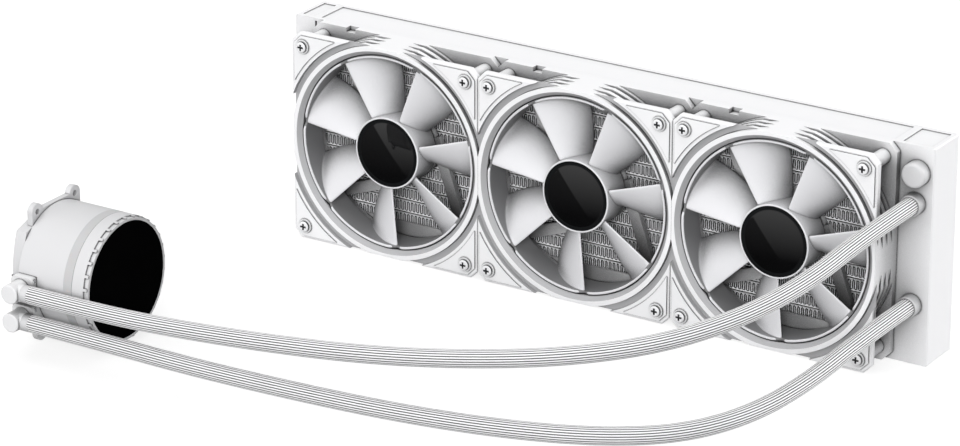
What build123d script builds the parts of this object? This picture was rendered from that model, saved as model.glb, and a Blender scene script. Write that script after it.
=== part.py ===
from build123d import *
import math
import os

os.makedirs("parts", exist_ok=True)

# All-in-one liquid cooler for a processor: a radiator with three fans, two hoses and a pump.
# Origin: middle of the radiator's underside. X runs along the radiator, Y from the fans
# towards the radiator's back, Z up. Everything is in millimetres.

# Small clearances
seat_gap = 0.05
running_gap = 0.04
tapped_gap = 0.03

# Fans
fan_count = 3
fan_size = 120.0
fan_depth = 25.0
fan_row_offset = -2.5
flange_thickness = 4.0
flange_corner = 4.5
flange_bevel = 0.5
fan_hole_inset = 7.5
fan_hole_radius = 2.15
post_radius = 4.0
duct_bore_inset = 4.0
duct_bulge = 2.0
duct_groove_bulge = 0.4
duct_groove_count = 3
duct_groove_width = 2.6
duct_groove_pitch = 5.2
inlet_inset = 1.7
inlet_cone_depth = 2.5
rim_bulge = 0.9
rim_setback = 1.0
moat_width = 3.5
moat_depth = 3.4
pad_height = 0.6
pad_margin = 1.6
pad_arc_gap = 2.2
cable_notch_width = 6.0
cable_notch_depth = 2.5
cable_notch_offset = -35.0
motor_base_radius = 20.5
motor_base_thickness = 3.0
strut_count = 4
strut_width = 6.5
strut_depth = 3.5
strut_tangent_radius = 20.0
strut_angle = 19.7

# Fan rotor
blade_count = 7
first_blade_angle = 172.8
blade_front_setback = 1.8
blade_rear_height = 5.2
blade_lead_half_angle = 14.25
blade_trail_angles = (21.0, 18.8, 13.5)
blade_camber = 0.08
blade_thickness = 1.5
rotor_ring_gap = 0.7
rotor_ring_wall = 1.4
rotor_ring_rear = 5.0
rotor_front_setback = 3.0
ring_notch_depth = 1.9
ring_notch_ahead = 3.7
ring_notch_behind = 5.5
hub_radius = 20.4
hub_wall = 1.6
hub_rear = 4.5
hub_cap_rim = 1.0
hub_cap_thickness = 0.8
shaft_radius = 1.5
shaft_boss_radius = 3.2
shaft_boss_length = 3.0
magnet_thickness = 2.6
magnet_clearance = 4.1
bearing_wall = 2.4
bearing_tube_wall = 1.4
bearing_clearance = 1.1
stator_air_gap = 0.9
stator_length = 8.0
stator_rise = 3.0
stator_pole_count = 4
stator_pole_width = 7.0
stator_core_radius = 8.0
stator_face_thickness = 2.0
stator_slot_width = 2.4
board_thickness = 1.4
board_margin = 0.25

# Fan screws
screw_radius = 1.5
screw_grip = 4.1
screw_head_radius = 2.95
screw_head_height = 1.7
screw_head_round = 0.75
screw_boss_radius = 4.0
screw_boss_height = 0.9
cross_length = 3.6
cross_width = 0.85
cross_depth = 1.1

# Radiator
core_trim = 1.0
left_tank_width = 13.0
right_tank_width = 22.0
radiator_depth = 27.0
tank_wall = 1.6
tank_edge = 0.6
header_thickness = 1.5
channel_web = 1.5
channel_flange = 1.5
channel_flange_height = 12.0
channel_end_gap = 1.2
tube_count = 15
tube_thickness = 1.8
tube_wall = 0.35
tube_nose_wall = 2.6
tube_nose_groove_width = 0.7
tube_nose_groove_depth = 1.6
case_hole_radius = 1.7
core_depth = 17.0
tube_end_length = 1.0
fin_waves = 22
fin_sheet = 0.35
fin_end_gap = 0.4
panel_depth = 0.5
panel_margin = 3.0
panel_ridge = 4.6

# Fill cap on the right tank
cap_radius = 6.75
cap_height = 7.0
cap_round = 2.0
cap_inset = 9.0
cap_drop = 14.2
cap_stem_radius = 3.5
cap_stem_length = 4.0
cap_seal_radius = 4.9
cap_seal_width = 1.3
cap_seal_thickness = 1.0

# Hose sockets on the right tank
socket_inset = 10.0
upper_socket_drop = 31.0
lower_socket_height = 33.0
ferrule_radius = 5.8
ferrule_length = 6.4
ferrule_round = 0.5
barb_wall = 0.8
barb_grip = 6.0

# Hoses
hose_radius = 4.7
hose_bore_radius = 3.1

# Pump, measured along its axis back from the window's face
pump_face_x = -165.5
pump_axis_y = -214.5
pump_radius = 34.0
bezel_length = 9.85
bezel_rim_length = 2.6
bezel_rim_step = 0.8
bezel_wall = 3.0
tab_count = 30
tab_angle = 2.6
tab_setback = 0.45
first_tab_angle = 110.9
window_inset = 2.3
window_thickness = 1.5
window_ledge = 1.7
window_ledge_thickness = 1.0
panel_thickness = 2.5
control_board_gap = 0.6
control_board_thickness = 1.6
light_ring_length = 5.55
light_ring_wall = 2.2
light_lip_length = 1.0
light_lip_thickness = 1.2
housing_length = 29.1
housing_wall = 1.6
housing_fit = 0.1

# Pump base and its ears
base_length = 6.5
base_side_reach = 30.0
base_top_reach = 30.0
base_corner = (25.4, 25.2)
ear_length = 3.2
ear_half_spacing_y = 15.8
ear_half_spacing_z = 33.8
ear_radius = 4.4
ear_hole_radius = 1.6
ear_web_rise = 0.7

# Pump chamber and what turns in it
chamber_flange_length = 12.5
chamber_boss_radius = 25.0
chamber_boss_length = 5.5
cavity_radius = 18.5
cavity_roof = 3.0
can_radius = 9.0
can_bore_radius = 7.6
can_length = 18.5
can_end_wall = 3.5
spindle_radius = 1.5
spindle_seat_depth = 2.0
spindle_collar_radius = 2.6
spindle_collar_length = 0.9
impeller_radius = 15.0
impeller_disc_length = 1.5
impeller_disc_gap = 3.5
impeller_hub_radius = 7.0
impeller_end_gap = 0.5
impeller_collar_gap = 0.1
vane_count = 6
vane_height = 3.0
vane_width = 1.2
pump_stator_radius = 20.0
pump_stator_length = 11.0
pump_stator_slots = 6
pump_stator_slot_width = 3.0
pump_stator_slot_depth = 7.0

# Cold plate
cold_plate_radius = 25.0
cold_plate_thickness = 3.0
cold_fin_count = 12
cold_fin_thickness = 1.0
cold_fin_gap = 1.0
cold_fin_length = 23.0
cold_fin_height = 3.0
plate_seal_radius = 19.9
plate_seal_width = 1.3
plate_seal_thickness = 1.0
plate_screw_count = 8
plate_screw_circle = 22.8
plate_screw_radius = 1.0
plate_screw_length = 6.0
plate_screw_head_radius = 1.7
plate_screw_head_height = 1.2

# Fitting blocks, elbows and their clips
block_reach = 37.8
block_root = 20.0
block_step = 30.6
block_front = 32.4
block_back = 46.1
block_height = 12.6
block_round = 2.5
block_window_gap = 0.15
upper_fitting_drop = 0.4
lower_fitting_drop = 16.2
fitting_axis_depth = 39.5
passage_radius = 3.0
spigot_radius = 4.2
spigot_length = 6.6
spigot_socket_length = 7.0
clip_setback = 2.0
clip_thickness = 1.2
clip_leg_width = 2.05
clip_bridge = 1.0
groove_radius = 3.4
seal_setback = 3.9
seal_length = 1.2
neck_radius = 5.2
neck_length = 10.6
neck_round = 0.6
collar_offset = 4.8
collar_root_reach = 5.7
collar_reach = 10.0

# Hose routes between the straight ends at the pump's collars and at the tank's ferrules
pump_end_straight = 49.0
tank_end_straight = 52.6
upper_route = [
    (-96.0, -256.6, 40.6),
    (-43.0, -257.2, 45.8),
    (12.0, -256.0, 52.2),
    (66.0, -248.6, 59.6),
    (115.0, -233.6, 67.0),
    (154.0, -209.4, 74.3),
    (177.8, -173.0, 80.9),
    (188.0, -128.5, 86.0),
]
lower_route = [
    (-91.0, -258.9, 22.5),
    (-33.0, -258.1, 23.6),
    (25.5, -255.4, 25.0),
    (81.0, -247.2, 26.4),
    (129.0, -232.8, 27.8),
    (164.0, -209.7, 29.1),
    (182.8, -174.4, 30.6),
    (188.8, -129.2, 32.1),
]

# What follows from the sizes above
radiator_height = fan_size
core_length = fan_count * fan_size - core_trim
radiator_length = left_tank_width + core_length + right_tank_width
left_end = -radiator_length / 2
right_end = radiator_length / 2
core_left = left_end + left_tank_width
core_right = right_end - right_tank_width
radiator_front = -radiator_depth / 2
radiator_back = radiator_depth / 2
fan_centres = [
    (place - (fan_count - 1) / 2) * fan_size + fan_row_offset for place in range(fan_count)
]
fan_names = ["left", "middle", "right"]
half_spacing = fan_size / 2 - fan_hole_inset
duct_bore_radius = fan_size / 2 - duct_bore_inset
duct_outer_radius = fan_size / 2 + duct_bulge
duct_groove_radius = fan_size / 2 + duct_groove_bulge
inlet_radius = fan_size / 2 - inlet_inset
rim_outer_radius = fan_size / 2 + rim_bulge
moat_outer_radius = rim_outer_radius + moat_width
flange_front = fan_depth - pad_height
screw_seat = fan_depth + screw_boss_height
upper_socket_height = radiator_height - upper_socket_drop
cooler_hole_radius = screw_radius + tapped_gap
fin_height = (radiator_height - 2 * channel_web - tube_count * tube_thickness) / (tube_count + 1)
tube_pitch = fin_height + tube_thickness
barb_radius = hose_bore_radius - seat_gap
pump_axis_z = ear_half_spacing_z + ear_radius
light_ring_back = bezel_length + light_ring_length
housing_back = light_ring_back + housing_length
base_back = housing_back + base_length
chamber_roof = housing_back - chamber_flange_length
chamber_back = housing_back + chamber_boss_length
housing_bore_radius = pump_radius - housing_wall
rotor_front = fan_depth - rotor_front_setback
blade_front_height = rotor_front - blade_front_setback
hub_inner_front = rotor_front - hub_cap_thickness - hub_wall
magnet_length = hub_inner_front - magnet_clearance - hub_rear
bearing_front = hub_inner_front - shaft_boss_length - bearing_clearance
bearing_length = bearing_front - motor_base_thickness
screw_length = screw_seat + screw_grip
window_radius = pump_radius - window_inset
bezel_bore_radius = pump_radius - bezel_wall
control_board_radius = bezel_bore_radius - control_board_gap
collar_root = fitting_axis_depth - collar_root_reach
collar_end = fitting_axis_depth - collar_reach


def disc(radius, low, high):
    """A round bar on the local axis, from one height to another."""
    bar = Cylinder(radius, high - low, align=(Align.CENTER, Align.CENTER, Align.MIN))
    return Pos(0, 0, low) * bar


def ring(outer, inner, low, high):
    """A round tube on the local axis."""
    return disc(outer, low, high) - disc(inner, low, high)


def block(xs, ys, zs):
    """A box between three pairs of limits."""
    box = Box(xs[1] - xs[0], ys[1] - ys[0], zs[1] - zs[0], align=(Align.MIN,) * 3)
    return Pos(xs[0], ys[0], zs[0]) * box


def corners(half_x, half_y):
    """The four points of a rectangle about the local axis."""
    return [(side * half_x, end * half_y) for side in (-1, 1) for end in (-1, 1)]


def around(count, first=0.0):
    """Evenly spaced angles, in degrees."""
    return [first + place * 360 / count for place in range(count)]


def save(name, *solids):
    """Write one node, as one solid or as a group of like solids."""
    shape = solids[0] if len(solids) == 1 else Compound(list(solids))
    export_step(shape, f"parts/{name}.step")


def fan_plane(centre):
    """A fan's own frame: Z runs from the radiator's front face out to the fan's front."""
    return Plane(
        origin=(centre, radiator_front, radiator_height / 2), x_dir=(1, 0, 0), z_dir=(0, -1, 0)
    )


def flange(low, high):
    """A square plate with its four corners cut off."""
    outline = Rectangle(fan_size, fan_size)
    outline = chamfer(outline.vertices(), flange_corner)
    return Pos(0, 0, low) * extrude(outline, high - low)


def front_flange():
    """The front plate, with a bevel round its front edge."""
    plate = flange(fan_depth - flange_thickness, flange_front)
    return chamfer(plate.faces().sort_by(Axis.Z)[-1].edges(), flange_bevel)


def corner_pads():
    """Four raised pads on the front plate, each as far from the plate's edges as the others."""
    side = fan_size - 2 * pad_margin
    outline = Rectangle(side, side)
    outline = chamfer(outline.vertices(), flange_corner)
    outline -= Circle(moat_outer_radius + pad_arc_gap)
    return Pos(0, 0, flange_front) * extrude(outline, pad_height)


def duct_wall():
    """The round wall between the flanges, flat on four sides, with grooves round it."""
    low, high = flange_thickness, fan_depth - flange_thickness
    wall = disc(duct_outer_radius, low, high)
    wall = wall & block((-fan_size / 2, fan_size / 2), (-fan_size / 2, fan_size / 2), (low, high))
    first = (low + high - (duct_groove_count - 1) * duct_groove_pitch - duct_groove_width) / 2
    for place in range(duct_groove_count):
        start = first + place * duct_groove_pitch
        wall -= ring(fan_size, duct_groove_radius, start, start + duct_groove_width)
    return wall


def struts():
    """Bars from the motor's base out to the duct wall, each tangent to a circle."""
    middle = strut_tangent_radius
    bar = block(
        (middle - strut_width / 2, middle + strut_width / 2),
        (-duct_outer_radius, 0),
        (0, strut_depth),
    )
    bar = bar & disc((duct_bore_radius + duct_outer_radius) / 2, 0, strut_depth)
    return [Rot(0, 0, angle) * bar for angle in around(strut_count, strut_angle)]


def fan_frame():
    """The moulded frame: flanges, duct, posts, struts, motor base and bearing tube."""
    frame = flange(0, flange_thickness) + front_flange() + duct_wall()
    for x, y in corners(half_spacing, half_spacing):
        frame += Pos(x, y, 0) * disc(post_radius, 0, fan_depth - flange_thickness)
    rim_front = fan_depth - rim_setback
    frame -= disc(duct_bore_radius, 0, fan_depth)
    frame -= disc(rim_outer_radius, rim_front, fan_depth)
    frame -= ring(moat_outer_radius, rim_outer_radius, fan_depth - moat_depth, fan_depth)
    for pad in corner_pads().solids():
        frame += pad
    cone = Cone(
        duct_bore_radius,
        inlet_radius,
        inlet_cone_depth,
        align=(Align.CENTER, Align.CENTER, Align.MIN),
    )
    frame -= Pos(0, 0, rim_front - inlet_cone_depth) * cone
    frame += disc(motor_base_radius, 0, motor_base_thickness)
    for strut in struts():
        frame += strut
    frame += disc(tube_outer_radius(), 0, motor_base_thickness + bearing_length)
    frame -= disc(
        tube_bore_radius(), motor_base_thickness, motor_base_thickness + bearing_length
    )
    for x, y in corners(half_spacing, half_spacing):
        frame += Pos(x, y, 0) * disc(screw_boss_radius, flange_front, screw_seat)
        frame -= Pos(x, y, 0) * disc(fan_hole_radius, 0, screw_seat)
    frame -= block(
        (
            cable_notch_offset - cable_notch_width / 2,
            cable_notch_offset + cable_notch_width / 2,
        ),
        (fan_size / 2 - cable_notch_depth, fan_size / 2),
        (0, flange_thickness),
    )
    return frame


def tube_bore_radius():
    """Inside of the bearing tube, which holds the bearing."""
    return shaft_radius + running_gap + bearing_wall + seat_gap


def tube_outer_radius():
    """Outside of the bearing tube, which carries the stator."""
    return tube_bore_radius() + bearing_tube_wall


def blade_section(distance, trail):
    """A blade's outline at one distance from the axis: two arcs that meet in thin edges."""
    lead = distance * math.tan(math.radians(blade_lead_half_angle))
    chord = Vector(0, trail - lead, blade_rear_height - blade_front_height)
    normal = Vector(0, chord.Z, -chord.Y).normalized()
    middle = Vector(distance, lead, blade_front_height) + chord / 2
    rise = chord.length * blade_camber
    front = (distance, lead, blade_front_height)
    rear = (distance, trail, blade_rear_height)
    outer = ThreePointArc(front, middle + normal * (rise + blade_thickness / 2), rear)
    inner = ThreePointArc(rear, middle + normal * (rise - blade_thickness / 2), front)
    return Face(Wire([outer, inner]))


def fan_blade():
    """One blade, lofted outwards, and cut round where it meets the hub and the ring."""
    root = hub_radius - hub_wall - shaft_radius / 2
    stations = (root, (root + duct_bore_radius) / 2, duct_bore_radius)
    sections = [
        blade_section(distance, -distance * math.tan(math.radians(angle)))
        for distance, angle in zip(stations, blade_trail_angles)
    ]
    blade = loft(sections)
    reach = ring(
        ring_outer_radius() - rotor_ring_wall / 2, hub_radius - hub_wall / 2, 0, fan_depth
    )
    return Rot(0, 0, -blade_lead_half_angle) * (blade & reach)


def ring_outer_radius():
    """Outside of the ring that joins the blade tips, clear of the duct's bore."""
    return duct_bore_radius - rotor_ring_gap


def rotor_ring():
    """The ring round the blade tips, with a shallow notch in its front at each blade."""
    outer = ring_outer_radius()
    shape = ring(outer, outer - rotor_ring_wall, rotor_ring_rear, rotor_front)
    ahead = outer * math.sin(math.radians(ring_notch_ahead))
    behind = outer * math.sin(math.radians(ring_notch_behind))
    outline = Polyline(
        (0, 0, rotor_front - ring_notch_depth),
        (0, ahead, rotor_front),
        (0, ahead, fan_depth),
        (0, -behind, fan_depth),
        (0, -behind, rotor_front),
        close=True,
    )
    notch = extrude(make_face(outline.edges()), 3 * rotor_ring_wall, dir=(1, 0, 0))
    for angle in around(blade_count, first_blade_angle):
        shape -= Rot(0, 0, angle) * Pos(outer - 2 * rotor_ring_wall, 0, 0) * notch
    return shape


def fan_rotor():
    """The moulded rotor: hub cup, seven blades and the ring round their tips."""
    cap_seat = rotor_front - hub_cap_thickness
    rotor = disc(hub_radius, hub_rear, rotor_front)
    rotor -= disc(hub_radius - hub_wall, hub_rear, cap_seat - hub_wall)
    rotor -= disc(hub_radius - hub_cap_rim + seat_gap, cap_seat, rotor_front)
    boss_rear = cap_seat - hub_wall - shaft_boss_length
    rotor += disc(shaft_boss_radius, boss_rear, cap_seat - hub_wall)
    rotor -= disc(shaft_radius, boss_rear, shaft_front())
    rotor += rotor_ring()
    blade = fan_blade()
    for angle in around(blade_count, first_blade_angle):
        rotor += Rot(0, 0, angle) * blade
    return rotor


def shaft_front():
    """Front end of the fan's shaft, half way through the hub's front wall."""
    return rotor_front - hub_cap_thickness - hub_wall / 2


def hub_cap():
    """The glossy disc let into the hub's front."""
    return disc(hub_radius - hub_cap_rim, rotor_front - hub_cap_thickness, rotor_front)


def rotor_magnet():
    """The ring magnet inside the hub cup."""
    outer = hub_radius - hub_wall - seat_gap
    start = hub_rear + seat_gap
    return ring(outer, outer - magnet_thickness, start, start + magnet_length)


def fan_shaft():
    """The steel shaft, pressed into the hub and turning in the bearing."""
    return disc(shaft_radius, motor_base_thickness + running_gap, shaft_front())


def fan_bearing():
    """The plain bearing in the frame's tube."""
    return ring(
        shaft_radius + running_gap + bearing_wall,
        shaft_radius + running_gap,
        motor_base_thickness,
        motor_base_thickness + bearing_length,
    )


def fan_stator():
    """The wound iron core: poles on a sleeve round the bearing tube."""
    low = motor_base_thickness + stator_rise
    high = low + stator_length
    bore = tube_outer_radius() + seat_gap
    outer = hub_radius - hub_wall - seat_gap - magnet_thickness - stator_air_gap
    core = ring(outer, outer - stator_face_thickness, low, high)
    core += ring(stator_core_radius, bore, low, high)
    for angle in around(stator_pole_count):
        pole = block(
            (bore, outer - stator_face_thickness / 2),
            (-stator_pole_width / 2, stator_pole_width / 2),
            (low, high),
        )
        slot = block(
            (outer - 2 * stator_face_thickness, outer + stator_face_thickness),
            (-stator_slot_width / 2, stator_slot_width / 2),
            (low, high),
        )
        core += Rot(0, 0, angle) * pole
        core -= Rot(0, 0, angle + 180 / stator_pole_count) * slot
    return core


def fan_board():
    """The round circuit board on the motor's base."""
    inner = tube_outer_radius() + seat_gap
    outer = strut_tangent_radius - strut_width / 2 - board_margin
    low = motor_base_thickness
    return ring(outer, inner, low, low + board_thickness)


def fan_screw():
    """A pan-head screw through the fan and into the radiator's side channel."""
    seat = screw_seat
    head = disc(screw_head_radius, seat, seat + screw_head_height)
    head = fillet(head.edges().sort_by(Axis.Z)[-1], screw_head_round)
    screw = head + disc(screw_radius, seat - screw_length, seat)
    front = seat + screw_head_height
    for turn in (0, 90):
        arm = block(
            (-cross_length / 2, cross_length / 2),
            (-cross_width / 2, cross_width / 2),
            (front - cross_depth, front),
        )
        screw -= Rot(0, 0, turn) * arm
    return screw


def sunk_panel(x_low, x_high):
    """The shallow recess in the radiator's top, between two ends."""
    return block(
        (x_low, x_high),
        (radiator_front + panel_margin, radiator_back - panel_margin),
        (radiator_height - panel_depth, radiator_height),
    )


def tank(x_low, x_high, mouth):
    """An end tank: a box that is open towards the core, with a recess in its top."""
    shape = block((x_low, x_high), (radiator_front, radiator_back), (0, radiator_height))
    outer_face = shape.faces().sort_by(Axis.X)[0 if mouth > 0 else -1]
    shape = chamfer(outer_face.edges(), tank_edge)
    inside_low = x_low if mouth < 0 else x_low + tank_wall
    inside_high = x_high if mouth > 0 else x_high - tank_wall
    shape -= block(
        (inside_low, inside_high),
        (radiator_front + tank_wall, radiator_back - tank_wall),
        (tank_wall, radiator_height - tank_wall),
    )
    panel_low = x_low + panel_margin if mouth > 0 else x_low + panel_ridge / 2
    panel_high = x_high - panel_margin if mouth < 0 else x_high - panel_ridge / 2
    return shape - sunk_panel(panel_low, panel_high)


def socket_plane(height):
    """Frame of a hose socket on the right tank, with Z out of the tank's front."""
    return Plane(
        origin=(right_end - socket_inset, radiator_front, height),
        x_dir=(1, 0, 0),
        z_dir=(0, -1, 0),
    )


def cap_plane():
    """Frame of the fill hole on the right tank, with Z out of the tank's front."""
    return Plane(
        origin=(right_end - cap_inset, radiator_front, radiator_height - cap_drop),
        x_dir=(1, 0, 0),
        z_dir=(0, -1, 0),
    )


def right_tank():
    """The wide tank, with two barbs for the hoses and the fill hole."""
    shape = tank(core_right, right_end, -1)
    for height in (upper_socket_height, lower_socket_height):
        shape += socket_plane(height) * disc(barb_radius, 0, ferrule_length + barb_grip)
        shape -= socket_plane(height) * disc(
            barb_radius - barb_wall, -tank_wall, ferrule_length + barb_grip
        )
    shape -= cap_plane() * disc(cap_stem_radius + seat_gap, -tank_wall, 0)
    return shape


def header_plate(x_low):
    """The slotted plate in a tank's mouth that the coolant tubes pass through."""
    shape = block(
        (x_low, x_low + header_thickness),
        (radiator_front + tank_wall + seat_gap, radiator_back - tank_wall - seat_gap),
        (tank_wall + seat_gap, radiator_height - tank_wall - seat_gap),
    )
    for place in range(tube_count):
        slot = SlotOverall(core_depth + 2 * seat_gap, tube_thickness + 2 * seat_gap)
        slot = extrude(slot, header_thickness)
        shape -= tube_plane(x_low, place) * slot
    return shape


def tube_plane(x_low, place):
    """Frame of one coolant tube, with Z along the tube."""
    height = channel_web + fin_height + tube_thickness / 2 + place * tube_pitch
    return Plane(origin=(x_low, 0, height), x_dir=(0, 1, 0), z_dir=(1, 0, 0))


def coolant_tubes():
    """Flat tubes with a groove along each round nose, from one tank to the other."""
    reach = header_thickness + tube_end_length
    length = core_length + 2 * reach
    outline = SlotOverall(core_depth, tube_thickness)
    outline -= Rectangle(core_depth - 2 * tube_nose_wall, tube_thickness - 2 * tube_wall)
    for side in (-1, 1):
        middle = side * (core_depth - tube_nose_groove_depth) / 2
        outline -= Pos(middle, 0) * Rectangle(tube_nose_groove_depth, tube_nose_groove_width)
    tube = extrude(outline, length)
    return [tube_plane(core_left - reach, place) * tube for place in range(tube_count)]


def fin_strip(z_low):
    """One folded strip of sheet, whose crests touch the tubes above and below."""
    start = core_left + fin_end_gap
    step = (core_length - 2 * fin_end_gap) / (2 * fin_waves)
    drop = fin_sheet * math.hypot(1, fin_height / step)
    z_high = z_low + fin_height
    top = []
    bottom = []
    for place in range(2 * fin_waves + 1):
        x = start + place * step
        crest = place % 2 == 0
        top.append((x, 0, z_high if crest else z_low + drop))
        bottom.append((x, 0, z_high - drop if crest else z_low))
    outline = Polyline(*top, *reversed(bottom), close=True)
    strip = extrude(make_face(outline.edges()), core_depth, dir=(0, 1, 0))
    return Pos(0, -core_depth / 2, 0) * strip


def fin_strips():
    """A folded strip in every gap between the tubes and the side channels."""
    return [fin_strip(channel_web + place * tube_pitch) for place in range(tube_count + 1)]


def channel(top):
    """A side channel of folded sheet, with tapped holes for the fans and for mounting."""
    web = (radiator_height - channel_web, radiator_height) if top else (0, channel_web)
    low = radiator_height - channel_flange_height if top else 0
    along = (core_left, core_right)
    shape = block(along, (radiator_front, radiator_back), web)
    along = (core_left + channel_end_gap, core_right - channel_end_gap)
    for face in (radiator_front, radiator_back - channel_flange):
        shape += block(along, (face, face + channel_flange), (low, low + channel_flange_height))
    row = half_spacing if top else -half_spacing
    for centre in fan_centres:
        for side in (-half_spacing, half_spacing):
            hole = disc(cooler_hole_radius, -radiator_depth / 2, 0)
            hole += disc(case_hole_radius, -radiator_depth, -radiator_depth / 2)
            shape -= fan_plane(centre) * Pos(side, row, 0) * hole
    if top:
        shape -= sunk_panel(core_left + panel_ridge / 2, core_right - panel_ridge / 2)
    return shape


def fill_cap():
    """The screw-in cap, with a groove under its head for the seal."""
    cap = disc(cap_radius, 0, cap_height)
    cap = fillet(cap.edges().sort_by(Axis.Z)[-1], cap_round)
    cap += disc(cap_stem_radius, -cap_stem_length, 0)
    return cap - ring(
        cap_seal_radius + cap_seal_width / 2,
        cap_seal_radius - cap_seal_width / 2,
        0,
        cap_seal_thickness,
    )


def fill_cap_seal():
    """The rubber ring between the fill cap and the tank."""
    return ring(
        cap_seal_radius + cap_seal_width / 2 - seat_gap,
        cap_seal_radius - cap_seal_width / 2 + seat_gap,
        0,
        cap_seal_thickness,
    )


def tank_ferrule():
    """The smooth sleeve that holds a hose on the tank's barb."""
    shape = disc(ferrule_radius, 0, ferrule_length)
    shape = fillet(shape.edges().sort_by(Axis.Z)[-1], ferrule_round)
    return shape - disc(barb_radius + seat_gap, 0, ferrule_length)


def hose_radii(route):
    """An arc for each bend, as large as its two runs allow."""
    points = [Vector(*point) for point in route]
    radii = []
    for before, here, after in zip(points, points[1:], points[2:]):
        arriving, leaving = here - before, after - here
        turn = math.radians(arriving.get_angle(leaving))
        shorter = min(arriving.length, leaving.length)
        radii.append(0.45 * shorter / math.tan(turn / 2))
    return radii


def full_route(fitting_height, bends, socket_height):
    """A hose's points: straight out of the pump's collar, the bends, straight to the tank."""
    y = pump_axis_y - block_reach - collar_offset
    z = pump_axis_z + fitting_height
    x = right_end - socket_inset
    start = (pump_face_x - collar_end, y, z)
    end = (x, radiator_front - ferrule_length, socket_height)
    leaving = (start[0] + pump_end_straight, y, z)
    arriving = (x, end[1] - tank_end_straight, socket_height)
    return [start, leaving, *bends, arriving, end]


def hose(name, route):
    """A hose of straight runs joined by tangent arcs; prints its radii and its volume."""
    radii = hose_radii(route)
    path = FilletPolyline(*route, radius=radii)
    start = Vector(*route[0])
    heading = Vector(*route[1]) - start
    section = Plane(origin=start, z_dir=heading) * (
        Circle(hose_radius) - Circle(hose_bore_radius)
    )
    shape = sweep(section, path=path)
    area = math.pi * (hose_radius**2 - hose_bore_radius**2)
    print(name, "bend radii", [round(radius, 1) for radius in radii])
    print(name, "length", round(path.length, 1), "volume", round(shape.volume, 1),
          "section times length", round(area * path.length, 1))
    return shape


pump_plane = Plane(
    origin=(pump_face_x, pump_axis_y, pump_axis_z), x_dir=(0, 1, 0), z_dir=(1, 0, 0)
)


def behind(radius, front, back):
    """A round bar on the pump's axis, between two depths behind its face."""
    return disc(radius, -back, -front)


def behind_ring(outer, inner, front, back):
    """A round tube on the pump's axis, between two depths behind its face."""
    return ring(outer, inner, -back, -front)


def display_window():
    """The black glass on the pump's face."""
    return behind(window_radius, 0, window_thickness)


def bezel_ring():
    """The ring round the window, with a ledge inside and thirty tabs round its front."""
    rim_radius = pump_radius - bezel_rim_step
    shape = behind(pump_radius, bezel_rim_length, bezel_length)
    shape += behind(rim_radius, 0, bezel_rim_length)
    half = pump_radius * math.sin(math.radians(tab_angle / 2))
    root = rim_radius - bezel_rim_step
    tab = block((root, pump_radius), (-half, half), (-bezel_rim_length, -tab_setback))
    for angle in around(tab_count, first_tab_angle):
        shape += Rot(0, 0, angle) * tab
    shape -= behind(window_radius + seat_gap, 0, window_thickness)
    ledge_back = window_thickness + window_ledge_thickness
    shape -= behind(window_radius - window_ledge, window_thickness, ledge_back)
    shape -= behind(bezel_bore_radius, ledge_back, bezel_length)
    return shape


def display_panel():
    """The round screen, behind the window and inside the bezel's ledge."""
    radius = window_radius - window_ledge - seat_gap
    return behind(radius, window_thickness, window_thickness + panel_thickness)


def control_board():
    """The pump's round circuit board, behind the screen."""
    front = window_thickness + panel_thickness
    return behind(control_board_radius, front, front + control_board_thickness)


def light_ring():
    """The translucent ring between bezel and housing, with a lip inside the housing."""
    inner = pump_radius - light_ring_wall
    shape = behind_ring(pump_radius, inner, bezel_length, light_ring_back)
    lip_outer = housing_bore_radius - seat_gap
    lip_back = light_ring_back + light_lip_length
    lip_inner = lip_outer - light_lip_thickness
    shape += behind_ring(lip_outer, lip_inner, light_ring_back - light_lip_length, lip_back)
    return shape


def fitting_heights():
    """Heights of the two fittings about the pump's axis."""
    return (-upper_fitting_drop, -lower_fitting_drop)


def pump_housing():
    """The outer shell, with a window where the two fitting blocks come out."""
    shape = behind_ring(pump_radius, housing_bore_radius, light_ring_back, housing_back)
    half = block_height / 2 + block_window_gap
    for height in fitting_heights():
        shape -= block(
            (-pump_radius, -block_root),
            (height - half, height + half),
            (-housing_back, -(block_front - block_window_gap)),
        )
    return shape


def base_outline():
    """A square whose four sides bulge outwards."""
    x, y = base_corner
    sides = [
        ThreePointArc((x, -y), (base_side_reach, 0), (x, y)),
        ThreePointArc((x, y), (0, base_top_reach), (-x, y)),
        ThreePointArc((-x, y), (-base_side_reach, 0), (-x, -y)),
        ThreePointArc((-x, -y), (0, -base_top_reach), (x, -y)),
    ]
    return make_face(sides)


def ear_pair():
    """The plate that carries the two upper ears, with a web between them."""
    outer = ear_half_spacing_y + ear_radius
    top = ear_half_spacing_z
    plate = Pos(0, (base_corner[1] + top) / 2) * Rectangle(2 * outer, top - base_corner[1])
    web_top = top + ear_web_rise
    plate += Pos(0, (base_corner[1] + web_top) / 2) * Rectangle(
        2 * ear_half_spacing_y, web_top - base_corner[1]
    )
    for side in (-ear_half_spacing_y, ear_half_spacing_y):
        plate += Pos(side, top) * Circle(ear_radius)
    return plate


def base_ring():
    """The mounting base: a ring round the cold plate with four screw ears."""
    shape = Pos(0, 0, -base_back) * extrude(base_outline(), base_length)
    ears = Pos(0, 0, -housing_back - ear_length) * extrude(ear_pair(), ear_length)
    shape += ears
    shape += Rot(0, 0, 180) * ears
    shape -= behind(chamber_boss_radius + housing_fit, housing_back, base_back)
    for x, y in corners(ear_half_spacing_y, ear_half_spacing_z):
        hole = behind(ear_hole_radius, housing_back, housing_back + ear_length)
        shape -= Pos(x, y, 0) * hole
    return shape


def fitting_block(height):
    """A square block with rounded edges that stands out of the housing's side."""
    ys = (height - block_height / 2, height + block_height / 2)
    outer = block((-block_reach, -block_step), ys, (-block_back, -block_front))
    outer = fillet(outer.edges().filter_by(Axis.X), block_round)
    inner = block((-block_step, -block_root), ys, (-housing_back, -block_front))
    return outer + inner


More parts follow.
